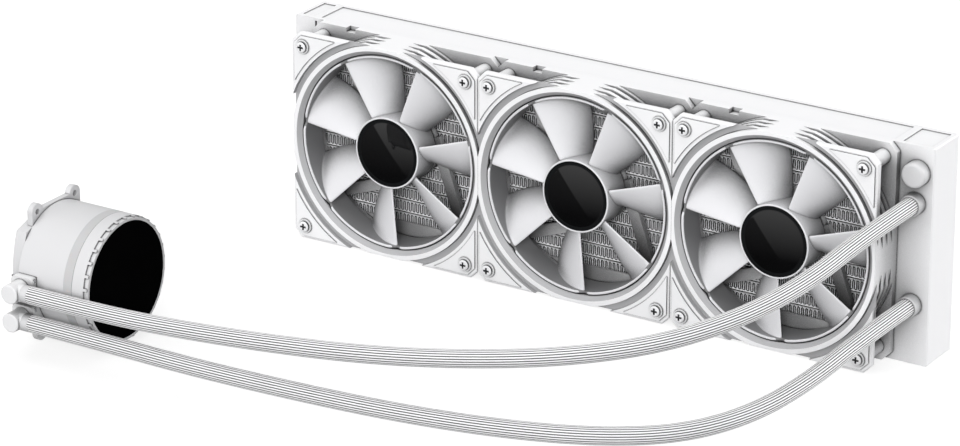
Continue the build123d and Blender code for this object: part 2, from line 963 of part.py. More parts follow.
def elbow_plane(height):
    """Frame of an elbow, with Z pointing out of the block's face and X to the front."""
    return Plane(
        origin=(-block_reach, height, -fitting_axis_depth), x_dir=(0, 0, 1), z_dir=(-1, 0, 0)
    )


def clip_limits():
    """How far a clip's two legs stand from the elbow's axis, and where they lie along it."""
    across = (groove_radius + seat_gap, groove_radius + seat_gap + clip_leg_width)
    along = (-clip_setback - clip_thickness, -clip_setback)
    return across, along


def pump_chamber():
    """The moulded heart of the pump: flange, rotor can, cavity and fitting blocks."""
    can_front = chamber_roof - can_length
    shape = behind(chamber_boss_radius, housing_back, chamber_back)
    shape += behind(housing_bore_radius - housing_fit, chamber_roof, housing_back)
    shape += behind(can_radius, can_front, chamber_roof)
    for height in fitting_heights():
        shape += fitting_block(height)
    cavity_front = chamber_roof + cavity_roof
    shape -= behind(cavity_radius, cavity_front, chamber_back)
    can_end = can_front + can_end_wall
    shape -= behind(can_bore_radius, can_end, cavity_front)
    shape -= behind(spindle_radius, can_end - spindle_seat_depth, can_end)
    shape -= behind_ring(
        plate_seal_radius + plate_seal_width / 2,
        plate_seal_radius - plate_seal_width / 2,
        chamber_back - plate_seal_thickness,
        chamber_back,
    )
    for angle in around(plate_screw_count):
        hole = behind(
            plate_screw_radius + tapped_gap, chamber_back - plate_screw_length, chamber_back
        )
        shape -= Rot(0, 0, angle) * Pos(plate_screw_circle, 0, 0) * hole
    across, along = clip_limits()
    for height in fitting_heights():
        where = elbow_plane(height)
        shape -= where * disc(spigot_radius + seat_gap, -spigot_socket_length, 0)
        inward = block_reach - cavity_radius * 0.8
        shape -= where * disc(passage_radius, -inward, 0)
        for side in (-1, 1):
            ys = sorted((side * (across[0] - seat_gap), side * (across[1] + seat_gap)))
            slot = block(
                (fitting_axis_depth - block_back, fitting_axis_depth - block_front),
                ys,
                (along[0] - seat_gap, along[1] + seat_gap),
            )
            shape -= where * slot
    return shape


def impeller_limits():
    """Depths of the impeller's front end, its disc's front and its rear end."""
    front = chamber_roof - can_length + can_end_wall + impeller_end_gap
    disc_front = chamber_roof + cavity_roof + impeller_disc_gap
    back = disc_front + impeller_disc_length + vane_height
    return front, disc_front, back


def pump_impeller():
    """The impeller, moulded over its magnet: a hub, a disc and straight vanes."""
    front, disc_front, back = impeller_limits()
    disc_back = disc_front + impeller_disc_length
    shape = behind(impeller_hub_radius, front, disc_front)
    shape += behind(impeller_radius, disc_front, disc_back)
    shape += behind(spindle_collar_radius + vane_width, disc_back, back)
    vane = block((spindle_collar_radius, impeller_radius - 0.2), (0, vane_width), (-back, -disc_back))
    for angle in around(vane_count):
        shape += Rot(0, 0, angle) * vane
    return shape - behind(spindle_radius + running_gap, front, back)


def impeller_shaft():
    """The fixed ceramic spindle, with a collar that keeps the impeller on it."""
    front, _, back = impeller_limits()
    seat = front - impeller_end_gap - spindle_seat_depth
    collar_front = back + impeller_collar_gap
    collar_back = collar_front + spindle_collar_length
    return behind(spindle_radius, seat, collar_back) + behind(
        spindle_collar_radius, collar_front, collar_back
    )


def pump_stator():
    """The slotted stator that fits over the can and rests on the chamber's flange."""
    front = chamber_roof - pump_stator_length
    shape = behind_ring(pump_stator_radius, can_radius + seat_gap, front, chamber_roof)
    half = pump_stator_slot_width / 2
    slot = block(
        (pump_stator_radius - pump_stator_slot_depth, pump_stator_radius + 1),
        (-half, half),
        (-chamber_roof, -front),
    )
    for angle in around(pump_stator_slots):
        shape -= Rot(0, 0, angle) * slot
    return shape


def cold_plate():
    """The round copper plate, with fine fins inside the pump and sunk screw holes."""
    plate_back = chamber_back + cold_plate_thickness
    shape = behind(cold_plate_radius, chamber_back, plate_back)
    pitch = cold_fin_thickness + cold_fin_gap
    first = -(cold_fin_count * pitch - cold_fin_gap) / 2
    for place in range(cold_fin_count):
        x = first + place * pitch
        shape += block(
            (x, x + cold_fin_thickness),
            (-cold_fin_length / 2, cold_fin_length / 2),
            (-chamber_back, -chamber_back + cold_fin_height),
        )
    for angle in around(plate_screw_count):
        where = Rot(0, 0, angle) * Pos(plate_screw_circle, 0, 0)
        shape -= where * behind(plate_screw_radius + tapped_gap, chamber_back, plate_back)
        shape -= where * behind(
            plate_screw_head_radius + seat_gap, plate_back - plate_screw_head_height, plate_back
        )
    return shape


def cold_plate_screws():
    """Small flat-headed screws that hold the cold plate to the chamber."""
    plate_back = chamber_back + cold_plate_thickness
    seat = plate_back - plate_screw_head_height
    screw = behind(plate_screw_radius, seat - plate_screw_length, seat)
    screw += behind(plate_screw_head_radius, seat, plate_back)
    return [
        Rot(0, 0, angle) * Pos(plate_screw_circle, 0, 0) * screw
        for angle in around(plate_screw_count)
    ]


def cold_plate_seal():
    """The rubber ring in the groove between chamber and cold plate."""
    return behind_ring(
        plate_seal_radius + plate_seal_width / 2 - seat_gap,
        plate_seal_radius - plate_seal_width / 2 + seat_gap,
        chamber_back - plate_seal_thickness,
        chamber_back,
    )


def elbow(height):
    """A swivel elbow: a grooved spigot, a capped neck and a barb towards the front."""
    along = clip_limits()[1]
    neck = disc(neck_radius, 0, neck_length)
    neck = fillet(neck.edges().sort_by(Axis.Z)[-1], neck_round)
    shape = neck + disc(spigot_radius, -spigot_length, 0)
    shape -= ring(spigot_radius + 1, groove_radius, *along)
    shape -= ring(
        spigot_radius + 1, groove_radius, -seal_setback - seal_length, -seal_setback
    )
    collar = Plane(origin=(0, 0, collar_offset), x_dir=(0, 1, 0), z_dir=(1, 0, 0))
    root = fitting_axis_depth - collar_root
    barb_end = fitting_axis_depth - collar_end + barb_grip
    shape += collar * disc(hose_radius, 0, root)
    shape += collar * disc(barb_radius, 0, barb_end)
    bore = barb_radius - barb_wall
    shape -= collar * disc(bore, 0, barb_end)
    shape -= disc(bore, -spigot_length, collar_offset)
    return elbow_plane(height) * shape


def elbow_ferrule(height):
    """The sleeve that holds a hose on an elbow's barb."""
    collar = Plane(origin=(0, 0, collar_offset), x_dir=(0, 1, 0), z_dir=(1, 0, 0))
    sleeve = ring(
        hose_radius,
        barb_radius + seat_gap,
        fitting_axis_depth - collar_root,
        fitting_axis_depth - collar_end,
    )
    return elbow_plane(height) * (collar * sleeve)


def elbow_seal(height):
    """The rubber ring in the elbow's inner groove."""
    return elbow_plane(height) * ring(
        spigot_radius, groove_radius + seat_gap, -seal_setback - seal_length, -seal_setback
    )


def elbow_clip(height):
    """A U of sprung plate, pushed in from behind, whose legs hold the elbow's groove."""
    across, along = clip_limits()
    back = fitting_axis_depth - block_back
    front = fitting_axis_depth - block_front
    clip = block((back - clip_bridge, back), (-across[1], across[1]), along)
    for side in (-1, 1):
        ys = sorted((side * across[0], side * across[1]))
        clip += block((back - clip_bridge, front), ys, along)
    return elbow_plane(height) * clip


def save_fans():
    """Write the pieces of each fan, and all the fan screws as one group."""
    pieces = {
        "fan_frame": fan_frame(),
        "fan_rotor": fan_rotor(),
        "hub_cap": hub_cap(),
        "rotor_magnet": rotor_magnet(),
        "fan_shaft": fan_shaft(),
        "fan_bearing": fan_bearing(),
        "fan_stator": fan_stator(),
        "fan_board": fan_board(),
    }
    screw = fan_screw()
    screws = []
    for side, centre in zip(fan_names, fan_centres):
        where = fan_plane(centre)
        for piece, shape in pieces.items():
            save(f"{side}_{piece}", where * shape)
        for x, y in corners(half_spacing, half_spacing):
            screws.append(where * (Pos(x, y, 0) * screw))
    save("fan_screws", *screws)


def save_radiator():
    """Write the pieces of the radiator."""
    save("left_tank", tank(left_end, core_left, 1))
    save("right_tank", right_tank())
    save("left_header_plate", header_plate(core_left - header_thickness))
    save("right_header_plate", header_plate(core_right))
    save("bottom_channel", channel(False))
    save("top_channel", channel(True))
    save("coolant_tubes", *coolant_tubes())
    save("fin_strips", *fin_strips())
    save("fill_cap", cap_plane() * fill_cap())
    save("fill_cap_seal", cap_plane() * fill_cap_seal())
    save("upper_tank_ferrule", socket_plane(upper_socket_height) * tank_ferrule())
    save("lower_tank_ferrule", socket_plane(lower_socket_height) * tank_ferrule())


def save_hoses():
    """Write the two hoses."""
    upper, lower = fitting_heights()
    upper_line = full_route(upper, upper_route, upper_socket_height)
    lower_line = full_route(lower, lower_route, lower_socket_height)
    save("upper_hose", hose("upper_hose", upper_line))
    save("lower_hose", hose("lower_hose", lower_line))


def save_pump():
    """Write the pieces of the pump, from its face back to the cold plate."""
    upper, lower = fitting_heights()
    save("display_window", pump_plane * display_window())
    save("bezel_ring", pump_plane * bezel_ring())
    save("display_panel", pump_plane * display_panel())
    save("control_board", pump_plane * control_board())
    save("light_ring", pump_plane * light_ring())
    save("pump_housing", pump_plane * pump_housing())
    save("base_ring", pump_plane * base_ring())
    save("pump_chamber", pump_plane * pump_chamber())
    save("pump_impeller", pump_plane * pump_impeller())
    save("impeller_shaft", pump_plane * impeller_shaft())
    save("pump_stator", pump_plane * pump_stator())
    save("cold_plate", pump_plane * cold_plate())
    save("cold_plate_seal", pump_plane * cold_plate_seal())
    save("cold_plate_screws", *[pump_plane * screw for screw in cold_plate_screws()])
    save("upper_elbow", pump_plane * elbow(upper))
    save("lower_elbow", pump_plane * elbow(lower))
    save("elbow_seals", *[pump_plane * elbow_seal(height) for height in (upper, lower)])
    save("elbow_clips", *[pump_plane * elbow_clip(height) for height in (upper, lower)])
    save("upper_elbow_ferrule", pump_plane * elbow_ferrule(upper))
    save("lower_elbow_ferrule", pump_plane * elbow_ferrule(lower))


save_fans()
save_radiator()
save_hoses()
save_pump()
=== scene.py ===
import bmesh
import bpy
import numpy as np
from mathutils import Euler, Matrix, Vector


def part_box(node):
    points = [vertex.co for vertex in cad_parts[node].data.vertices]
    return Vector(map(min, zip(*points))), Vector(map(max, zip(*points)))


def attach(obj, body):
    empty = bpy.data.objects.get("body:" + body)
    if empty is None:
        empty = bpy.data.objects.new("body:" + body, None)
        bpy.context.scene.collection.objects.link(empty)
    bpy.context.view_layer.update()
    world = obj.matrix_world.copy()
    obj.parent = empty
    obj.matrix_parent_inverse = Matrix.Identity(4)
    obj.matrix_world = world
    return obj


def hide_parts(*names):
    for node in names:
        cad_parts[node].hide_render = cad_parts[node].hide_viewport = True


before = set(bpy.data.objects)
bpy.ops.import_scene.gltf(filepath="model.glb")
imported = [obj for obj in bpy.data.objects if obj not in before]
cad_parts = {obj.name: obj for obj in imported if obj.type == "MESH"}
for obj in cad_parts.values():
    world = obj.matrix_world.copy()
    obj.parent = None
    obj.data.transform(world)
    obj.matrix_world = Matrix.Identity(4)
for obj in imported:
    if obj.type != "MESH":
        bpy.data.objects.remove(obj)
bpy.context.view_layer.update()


# Coolant tubes: fifteen flat aluminium tubes from tank to tank, brazed into the header plates
# and painted white with the finished core. The narrow groove that the tube's fold leaves along
# each nose is painted near black, as painted shade inside the groove.

edge_radius = 0.00035


def finish(name, colour, shade, patch, gloss, grain, relief, metallic=0.0, corners=()):
    """A surface whose colour drifts between two close tones over patches of one size, whose
    roughness drifts over the same patches between two values, and whose skin has a fine grain
    of one size and depth. Corners darken the colour where the surface is hemmed in, which is
    painted shade: each has the share of colour left at worst, how far it looks, and the open
    shares of that reach at which the painted shade ends and begins. A surface with corners
    also has its sharp edges rounded over. Sizes are in metres."""
    material = bpy.data.materials.new(name)
    material.use_nodes = True
    tree = material.node_tree
    shader = tree.nodes["Principled BSDF"]
    shader.inputs["Metallic"].default_value = metallic
    place = tree.nodes.new("ShaderNodeTexCoord")
    drift = tree.nodes.new("ShaderNodeTexNoise")
    drift.inputs["Scale"].default_value = 1 / patch
    drift.inputs["Detail"].default_value = 3
    tree.links.new(place.outputs["Object"], drift.inputs["Vector"])
    tone = tree.nodes.new("ShaderNodeMix")
    tone.data_type = "RGBA"
    tone.inputs[6].default_value = (*colour, 1)
    tone.inputs[7].default_value = (*shade, 1)
    tree.links.new(drift.outputs["Fac"], tone.inputs[0])
    tree.links.new(tone.outputs[2], shader.inputs["Base Color"])
    # Painted shade: each corner scales the base colour down where ambient occlusion finds the
    # surface hemmed in.
    for least, reach, closed, open_from in corners:
        painted_crevice_shade = tree.nodes.new("ShaderNodeAmbientOcclusion")
        painted_crevice_shade.samples = 6
        painted_crevice_shade.inputs["Distance"].default_value = reach
        left = tree.nodes.new("ShaderNodeMapRange")
        left.inputs["From Min"].default_value = closed
        left.inputs["From Max"].default_value = open_from
        left.inputs["To Min"].default_value = least
        tree.links.new(painted_crevice_shade.outputs["AO"], left.inputs["Value"])
        shade_darkened = tree.nodes.new("ShaderNodeVectorMath")
        shade_darkened.operation = "SCALE"
        tree.links.new(shader.inputs["Base Color"].links[0].from_socket, shade_darkened.inputs[0])
        tree.links.new(left.outputs["Result"], shade_darkened.inputs["Scale"])
        tree.links.new(shade_darkened.outputs["Vector"], shader.inputs["Base Color"])
    sheen = tree.nodes.new("ShaderNodeMapRange")
    sheen.inputs["To Min"].default_value = gloss[0]
    sheen.inputs["To Max"].default_value = gloss[1]
    tree.links.new(drift.outputs["Fac"], sheen.inputs["Value"])
    tree.links.new(sheen.outputs["Result"], shader.inputs["Roughness"])
    pores = tree.nodes.new("ShaderNodeTexNoise")
    pores.inputs["Scale"].default_value = 1 / grain
    pores.inputs["Detail"].default_value = 2
    tree.links.new(place.outputs["Object"], pores.inputs["Vector"])
    skin = tree.nodes.new("ShaderNodeBump")
    skin.inputs["Distance"].default_value = relief
    tree.links.new(pores.outputs["Fac"], skin.inputs["Height"])
    tree.links.new(skin.outputs["Normal"], shader.inputs["Normal"])
    if corners:
        rounded = tree.nodes.new("ShaderNodeBevel")
        rounded.samples = 4
        rounded.inputs["Radius"].default_value = edge_radius
        tree.links.new(rounded.outputs["Normal"], skin.inputs["Normal"])
    return material


def dress(material, *names):
    """Gives solids of the frame this material."""
    for name in names:
        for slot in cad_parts[name].material_slots:
            slot.material = material


def stepper(tree):
    """Gives a function that adds one sum to this material and returns its result."""
    def step(kind, first, second=0.0, clamp=False):
        node = tree.nodes.new("ShaderNodeMath")
        node.operation = kind
        node.use_clamp = clamp
        for socket, value in zip(node.inputs, (first, second)):
            if isinstance(value, (int, float)):
                socket.default_value = value
            else:
                tree.links.new(value, socket)
        return node.outputs[0]

    return step


def place_of(tree):
    """The x, y and z of a point on the piece."""
    split = tree.nodes.new("ShaderNodeSeparateXYZ")
    tree.links.new(tree.nodes["Texture Coordinate"].outputs["Object"], split.inputs[0])
    return split.outputs


def second_colour(material, colour, share):
    """Mixes one more colour over what the material has, by a share from 0 to 1."""
    tree = material.node_tree
    base = tree.nodes["Principled BSDF"].inputs["Base Color"]
    over = tree.nodes.new("ShaderNodeMix")
    over.data_type = "RGBA"
    over.inputs[7].default_value = (*colour, 1)
    tree.links.new(base.links[0].from_socket, over.inputs[6])
    tree.links.new(share, over.inputs[0])
    tree.links.new(over.outputs[2], base)


fin_low, fin_high = (np.array(corner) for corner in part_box("fin_strips"))
fin_count = 16
tube_thickness = 0.0018
fin_height = (fin_high[2] - fin_low[2] - (fin_count - 1) * tube_thickness) / fin_count
tube_pitch = fin_height + tube_thickness
first_tube = fin_low[2] + fin_height + tube_thickness / 2
groove_half_width = 0.00037
groove_half_depth = 0.0082
painted_shade_black = (0.02, 0.02, 0.021)


def core_paint(name):
    """The core's white paint."""
    return finish(name, (0.9, 0.9, 0.91), (0.86, 0.86, 0.87), 0.012, (0.42, 0.55), 0.0006, 8e-6)


tube_paint = core_paint("tube_paint")
step = stepper(tube_paint.node_tree)
_, y, z = place_of(tube_paint.node_tree)
tube_place = step("FLOORED_MODULO", step("SUBTRACT", z, first_tube - tube_pitch / 2), tube_pitch)
from_fold = step("ABSOLUTE", step("SUBTRACT", tube_place, tube_pitch / 2))
near_fold = step("LESS_THAN", from_fold, groove_half_width)
in_fold = step("LESS_THAN", step("ABSOLUTE", y), groove_half_depth)
# Painted shade: the inside of each nose groove is coloured near black.
second_colour(tube_paint, painted_shade_black, step("MULTIPLY", near_fold, in_fold))
dress(tube_paint, "coolant_tubes")


# Fin strips: thin aluminium sheet folded up and down like a ribbon, one strip in each gap
# between the tubes, its round folds brazed to the tubes above and below. Their walls are white,
# and the sheet's cut edges are painted near black, front and back: a dark winding line of
# painted shade for the shadowed slots between the folds.

merge_distance = 2e-7


def grid_faces(rows, columns, close_rows=False, close_columns=False):
    """Quads between neighbours of a grid of points whose index is row * columns + column."""
    row = np.arange(rows if close_rows else rows - 1)[:, None]
    column = np.arange(columns if close_columns else columns - 1)[None, :]
    next_row, next_column = (row + 1) % rows, (column + 1) % columns
    corners = [
        row * columns + column,
        next_row * columns + column,
        next_row * columns + next_column,
        row * columns + next_column,
    ]
    return np.stack(corners, axis=-1).reshape(-1, 4)


def make_piece(name, grids, material, body, crease=35.0):
    """One object from grids of points and their quads. Doubles are merged, so that seams and
    poles close, then faces are turned outwards, and edges sharper than the crease stay sharp."""
    starts = np.cumsum([0] + [len(points) for points, _ in grids])
    points = np.concatenate([points for points, _ in grids])
    faces = np.concatenate([quads + start for (_, quads), start in zip(grids, starts)])
    mesh = bpy.data.meshes.new(name)
    mesh.from_pydata(points.tolist(), [], faces.tolist())
    edit = bmesh.new()
    edit.from_mesh(mesh)
    bmesh.ops.remove_doubles(edit, verts=edit.verts, dist=merge_distance)
    bmesh.ops.recalc_face_normals(edit, faces=edit.faces)
    edit.to_mesh(mesh)
    edit.free()
    mesh.polygons.foreach_set("use_smooth", np.ones(len(mesh.polygons), dtype=bool))
    mesh.set_sharp_from_angle(angle=np.radians(crease))
    mesh.materials.append(material)
    piece = bpy.data.objects.new(name, mesh)
    bpy.context.scene.collection.objects.link(piece)
    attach(piece, body)
    return piece


fold_count = 146
sheet = 0.0005
cut_edge_shade_depth = 3e-5


def folded_strip(low):
    """Ribbon of round folds: the middle line runs up a wall, over a half circle whose diameter
    is half the fold's length, down a wall and under a second half circle. Both skins lie half a
    sheet from it along its normal, and are carried straight from the front to the back."""
    fold = (fin_high[0] - fin_low[0]) / fold_count
    radius = fold / 4
    arc = np.radians([180.0, 135.0, 90.0, 45.0, 0.0])
    half = len(arc)
    turn = np.concatenate([arc, -arc])
    normal = np.stack([np.cos(turn), np.sin(turn)], axis=-1)
    normal[half:] *= -1
    up = fin_height / 2 - sheet / 2 - radius
    centre = np.repeat([[radius, up], [3 * radius, -up]], half, axis=0)
    line = centre + radius * np.stack([np.cos(turn), np.sin(turn)], axis=-1)
    starts = np.arange(fold_count) * fold
    line = np.stack([line[None, :, 0] + starts[:, None], np.tile(line[:, 1], (fold_count, 1))], -1)
    line = line.reshape(-1, 2)
    normal = np.tile(normal, (fold_count, 1))
    inside = (line[:, 0] > sheet) & (line[:, 0] < fold_count * fold - sheet)
    line, normal = line[inside], normal[inside]
    skins = [line + normal * sheet / 2, line - normal * sheet / 2]
    loop = np.stack([skins[0], skins[1], skins[1], skins[0]], axis=1)
    depth = np.array([fin_low[1], fin_low[1], fin_high[1], fin_high[1]])
    points = np.empty((len(line), 4, 3))
    points[:, :, 0] = fin_low[0] + loop[:, :, 0]
    points[:, :, 1] = depth[None, :]
    points[:, :, 2] = low + fin_height / 2 + loop[:, :, 1]
    sides = grid_faces(len(line), 4, close_columns=True)
    last = 4 * (len(line) - 1)
    ends = np.array([[0, 1, 2, 3], [last + 3, last + 2, last + 1, last]])
    return points.reshape(-1, 3), np.concatenate([sides, ends])


fin_lows = fin_low[2] + np.arange(fin_count) * tube_pitch
fin_paint = core_paint("fin_paint")
step = stepper(fin_paint.node_tree)
from_middle = step("ABSOLUTE", place_of(fin_paint.node_tree)[1])
# Painted shade: the sheet's front and back edges are coloured near black.
cut_edge_shade = step("GREATER_THAN", from_middle, fin_high[1] - cut_edge_shade_depth)
second_colour(fin_paint, painted_shade_black, cut_edge_shade)
fins = make_piece("folded_fins", [folded_strip(low) for low in fin_lows], fin_paint, "cooler")
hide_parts("fin_strips")


# Tanks and side channels: folded and brazed aluminium sheet under one coat of satin white
# powder, whose skin has a very fine orange peel. The header plates inside stay bare.

powder_coat = finish(
    "white_powder_coat",
    (0.86, 0.86, 0.87),
    (0.83, 0.83, 0.845),
    0.03,
    (0.38, 0.5),
    0.0008,
    1.2e-5,
    corners=((0.2, 0.03, 0.2, 0.9), (0.1, 0.0012, 0.5, 0.9)),
)
dress(powder_coat, "left_tank", "right_tank", "top_channel", "bottom_channel")

bare_sheet = finish(
    "bare_sheet", (0.62, 0.62, 0.63), (0.5, 0.5, 0.52), 0.006, (0.28, 0.45), 0.0003, 6e-6, 1.0
)
dress(bare_sheet, "left_header_plate", "right_header_plate")


# Fill cap: a turned and coated plug with a wide round edge, screwed into the right tank on a
# rubber ring that lies in a groove under its head.

def eased(corners, ease, steps=4):
    """A profile whose inner corners are replaced by parabolas (1-t)^2 A + 2t(1-t) C + t^2 B,
    where C is the corner, and A and B lie at the corner's own easing distance on each side."""
    corner = np.asarray(corners, dtype=float)
    reach = np.asarray(ease, dtype=float)[:, None]
    here = corner[1:-1]
    back, on = corner[:-2] - here, corner[2:] - here
    start = here + back / np.linalg.norm(back, axis=1, keepdims=True) * reach
    end = here + on / np.linalg.norm(on, axis=1, keepdims=True) * reach
    t = np.linspace(0, 1, steps + 1)[None, :, None]
    curve = (1 - t) ** 2 * start[:, None] + 2 * t * (1 - t) * here[:, None] + t**2 * end[:, None]
    return np.concatenate([corner[:1], curve.reshape(-1, 2), corner[-1:]])


def turned(profile, turns=96):
    """Surface of revolution: the profile's point (r, h) at angle t is (r cos t, r sin t, h)."""
    angle = np.arange(turns) * (2 * np.pi / turns)
    radius, height = profile[:, :1], profile[:, 1:]
    points = np.stack(
        [radius * np.cos(angle), radius * np.sin(angle), height + 0 * angle], axis=-1
    )
    return points.reshape(-1, 3), grid_faces(len(profile), turns, close_columns=True)


def facing_front(points, x, y, z):
    """Places a piece that was worked out about its own axis, so that this axis points to the
    front from (x, y, z): its point (a, b, h) goes to (x + a, y - h, z + b)."""
    return np.stack([x + points[:, 0], y - points[:, 2], z + points[:, 1]], axis=-1)


cap_low, cap_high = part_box("fill_cap")
cap_radius = (cap_high.x - cap_low.x) / 2
cap_height = 0.007
seal_outer, seal_inner, seal_depth = 0.00555, 0.00425, 0.001
plug_radius, plug_length = 0.0035, 0.004
cap_profile = eased(
    [
        (0, cap_height),
        (cap_radius, cap_height),
        (cap_radius, 0),
        (seal_outer, 0),
        (seal_outer, seal_depth),
        (seal_inner, seal_depth),
        (seal_inner, 0),
        (plug_radius, 0),
        (plug_radius, -plug_length),
        (0, -plug_length),
    ],
    [0.0019, 0.00015, 0, 0, 0, 0, 0, 0],
    8,
)
cap_points, cap_quads = turned(cap_profile)
cap_points = facing_front(
    cap_points, (cap_low.x + cap_high.x) / 2, cap_low.y + cap_height, (cap_low.z + cap_high.z) / 2
)
# Painted shade: the cap takes a darker copy of the tanks' white coat, 0.66, so that it renders as
# dim as a shaded cap.
shaded_cap_coat = finish(
    "white_cap_coat",
    (0.66, 0.66, 0.67),
    (0.62, 0.62, 0.63),
    0.006,
    (0.34, 0.46),
    0.0008,
    8e-6,
    corners=((0.15, 0.01, 0.2, 0.9), (0.1, 0.0008, 0.5, 0.9)),
)
fill_cap = make_piece("fill_cap_round", [(cap_points, cap_quads)], shaded_cap_coat, "cooler")
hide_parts("fill_cap")

rubber = finish(
    "black_rubber", (0.03, 0.03, 0.03), (0.045, 0.045, 0.045), 0.004, (0.6, 0.8), 0.0002, 8e-6
)
dress(rubber, "fill_cap_seal")


# Fan frames: one moulding each of satin white plastic, with a fine spark-eroded grain. Two
# grey matt bands run round each fan: one in the groove outside its rim, and one in its mouth,
# which is painted shade on the rim's inner slope.

radiator_front = -0.0135
fan_height = 0.06
fan_pitch = 0.12
middle_fan_x = -0.0025
groove_radius, groove_half = 0.06285, 0.00165
mouth_shade_radius, mouth_shade_half = 0.0569, 0.00135
lip_rear = -0.0347
frame_plastic = finish(
    "white_frame_plastic",
    (0.87, 0.87, 0.88),
    (0.845, 0.845, 0.86),
    0.02,
    (0.34, 0.44),
    0.00035,
    5e-6,
    corners=((0.06, 0.03, 0.25, 0.8), (0.1, 0.001, 0.5, 0.9)),
)


def from_fan_axis(tree):
    """How far a point stands beside and above the axis of its own fan, without signs: x is
    counted from the middle fan's left edge, and what is left over whole pitches from half a
    pitch."""
    step = stepper(tree)
    x, _, z = place_of(tree)
    from_edge = step("ADD", x, fan_pitch / 2 - middle_fan_x)
    beside = step("SUBTRACT", step("FLOORED_MODULO", from_edge, fan_pitch), fan_pitch / 2)
    return step("ABSOLUTE", beside), step("ABSOLUTE", step("SUBTRACT", z, fan_height))


def from_fan_centre(tree):
    """How far a point stands from the axis of its own fan: the root of the two squares."""
    step = stepper(tree)
    beside, above = from_fan_axis(tree)
    return step("SQRT", step("ADD", step("POWER", beside, 2.0), step("POWER", above, 2.0)))


step = stepper(frame_plastic.node_tree)
reach = from_fan_centre(frame_plastic.node_tree)
from_groove = step("ABSOLUTE", step("SUBTRACT", reach, groove_radius))
from_mouth = step("ABSOLUTE", step("SUBTRACT", reach, mouth_shade_radius))
in_groove = step("LESS_THAN", from_groove, groove_half)
mouth_shade = step("LESS_THAN", from_mouth, mouth_shade_half)
in_front = step("LESS_THAN", place_of(frame_plastic.node_tree)[1], lip_rear)
# The grey band in the mouth is painted shade on the rim's inner slope.
grey = step("MULTIPLY", step("MAXIMUM", in_groove, mouth_shade), in_front)
second_colour(frame_plastic, (0.42, 0.42, 0.43), grey)
fan_names = ["left", "middle", "right"]
dress(frame_plastic, *(f"{name}_fan_frame" for name in fan_names))


# Fan rotors: hub cup, seven swept blades and the ring round their tips are one off-white
# moulding. The ring has a shallow notch in its front edge at each blade's leading tip, and its
# wall behind the lip is painted dark grey, as painted shade inside the ring.

rotor_plastic = finish(
    "white_rotor_plastic",
    (0.76, 0.76, 0.78),
    (0.73, 0.73, 0.75),
    0.015,
    (0.3, 0.42),
    0.0004,
    5e-6,
    corners=((0.05, 0.03, 0.3, 0.85), (0.2, 0.001, 0.5, 0.9)),
)
wall_shade_start, wall_shade_blend = 0.0534, 0.00025
step = stepper(rotor_plastic.node_tree)
reach = from_fan_centre(rotor_plastic.node_tree)
ring_wall_shade = step("MULTIPLY", step("SUBTRACT", reach, wall_shade_start), 1 / wall_shade_blend, clamp=True)
behind_lip = step("GREATER_THAN", place_of(rotor_plastic.node_tree)[1], lip_rear)
# Painted shade: the ring's inner wall behind the lip is coloured dark grey.
second_colour(rotor_plastic, (0.2, 0.2, 0.205), step("MULTIPLY", ring_wall_shade, behind_lip))
hub_radius = 0.0204
hub_front = 0.022
hub_rear = 0.0045
ring_outer = 0.0553
ring_wall = 0.0014
ring_rear = 0.005
blade_count = 7
first_blade = np.radians(172.8)
blade_step = 2 * np.pi / blade_count
blade_front, blade_rear = 0.0202, 0.0052
blade_thickness = 0.0015
blade_bluntness = 0.45
camber = 0.08
root_sink = 0.0008
sweep_radii = (0.018, 0.035, 0.056)
sweep_angles = (-35.2, -33.0, -27.7)
hub_fillet, ring_fillet = 0.0012, 0.0009
section_points, span_points, span_crowding = 36, 25, 0.9
fillet_growth, fillet_limit = 1.1, 1.2


def blade(lead):
    """Point (r, u) of a blade: u runs once round its section, and s = (1 - cos u) / 2 is the
    way from leading to trailing edge. The chord starts at the angle lead and turns through the
    sweep, a parabola in r through three angles. The section bulges to the front by the camber
    times 4 s (1 - s) of the chord. Half the thickness goes with |sin u| to the power of the
    bluntness, and grows towards hub and ring by two exponentials."""
    around = np.linspace(0, 2 * np.pi, section_points + 1)[:-1]
    inner, outer = hub_radius - root_sink, ring_outer - ring_wall / 2
    radius = inner + (outer - inner) * np.linspace(0, 1, span_points) ** span_crowding
    radius = np.concatenate([radius[:1], radius, radius[-1:]])[:, None]
    closing = np.ones_like(radius)
    closing[0] = closing[-1] = 0
    sweep = np.polyval(np.polyfit(sweep_radii, np.radians(sweep_angles), 2), radius)
    s = (1 - np.cos(around))[None, :] / 2
    run, fall = radius * sweep, blade_rear - blade_front
    chord = np.hypot(run, fall)
    at_hub = np.exp(-(radius - hub_radius) / hub_fillet)
    at_ring = np.exp(-(ring_outer - ring_wall - radius) / ring_fillet)
    growth = fillet_growth * np.minimum(at_hub + at_ring, fillet_limit)
    half = blade_thickness / 2 * (1 + growth)
    bulge = np.sign(np.sin(around)) * np.abs(np.sin(around)) ** blade_bluntness
    offset = closing * half * bulge + camber * chord * 4 * s * (1 - s)
    along = run * s + offset * fall / chord
    height = blade_front + fall * s - offset * run / chord
    angle = lead + along / radius
    points = np.stack([radius * np.cos(angle), radius * np.sin(angle), height], axis=-1)
    return points.reshape(-1, 3), grid_faces(len(radius), len(around), close_columns=True)


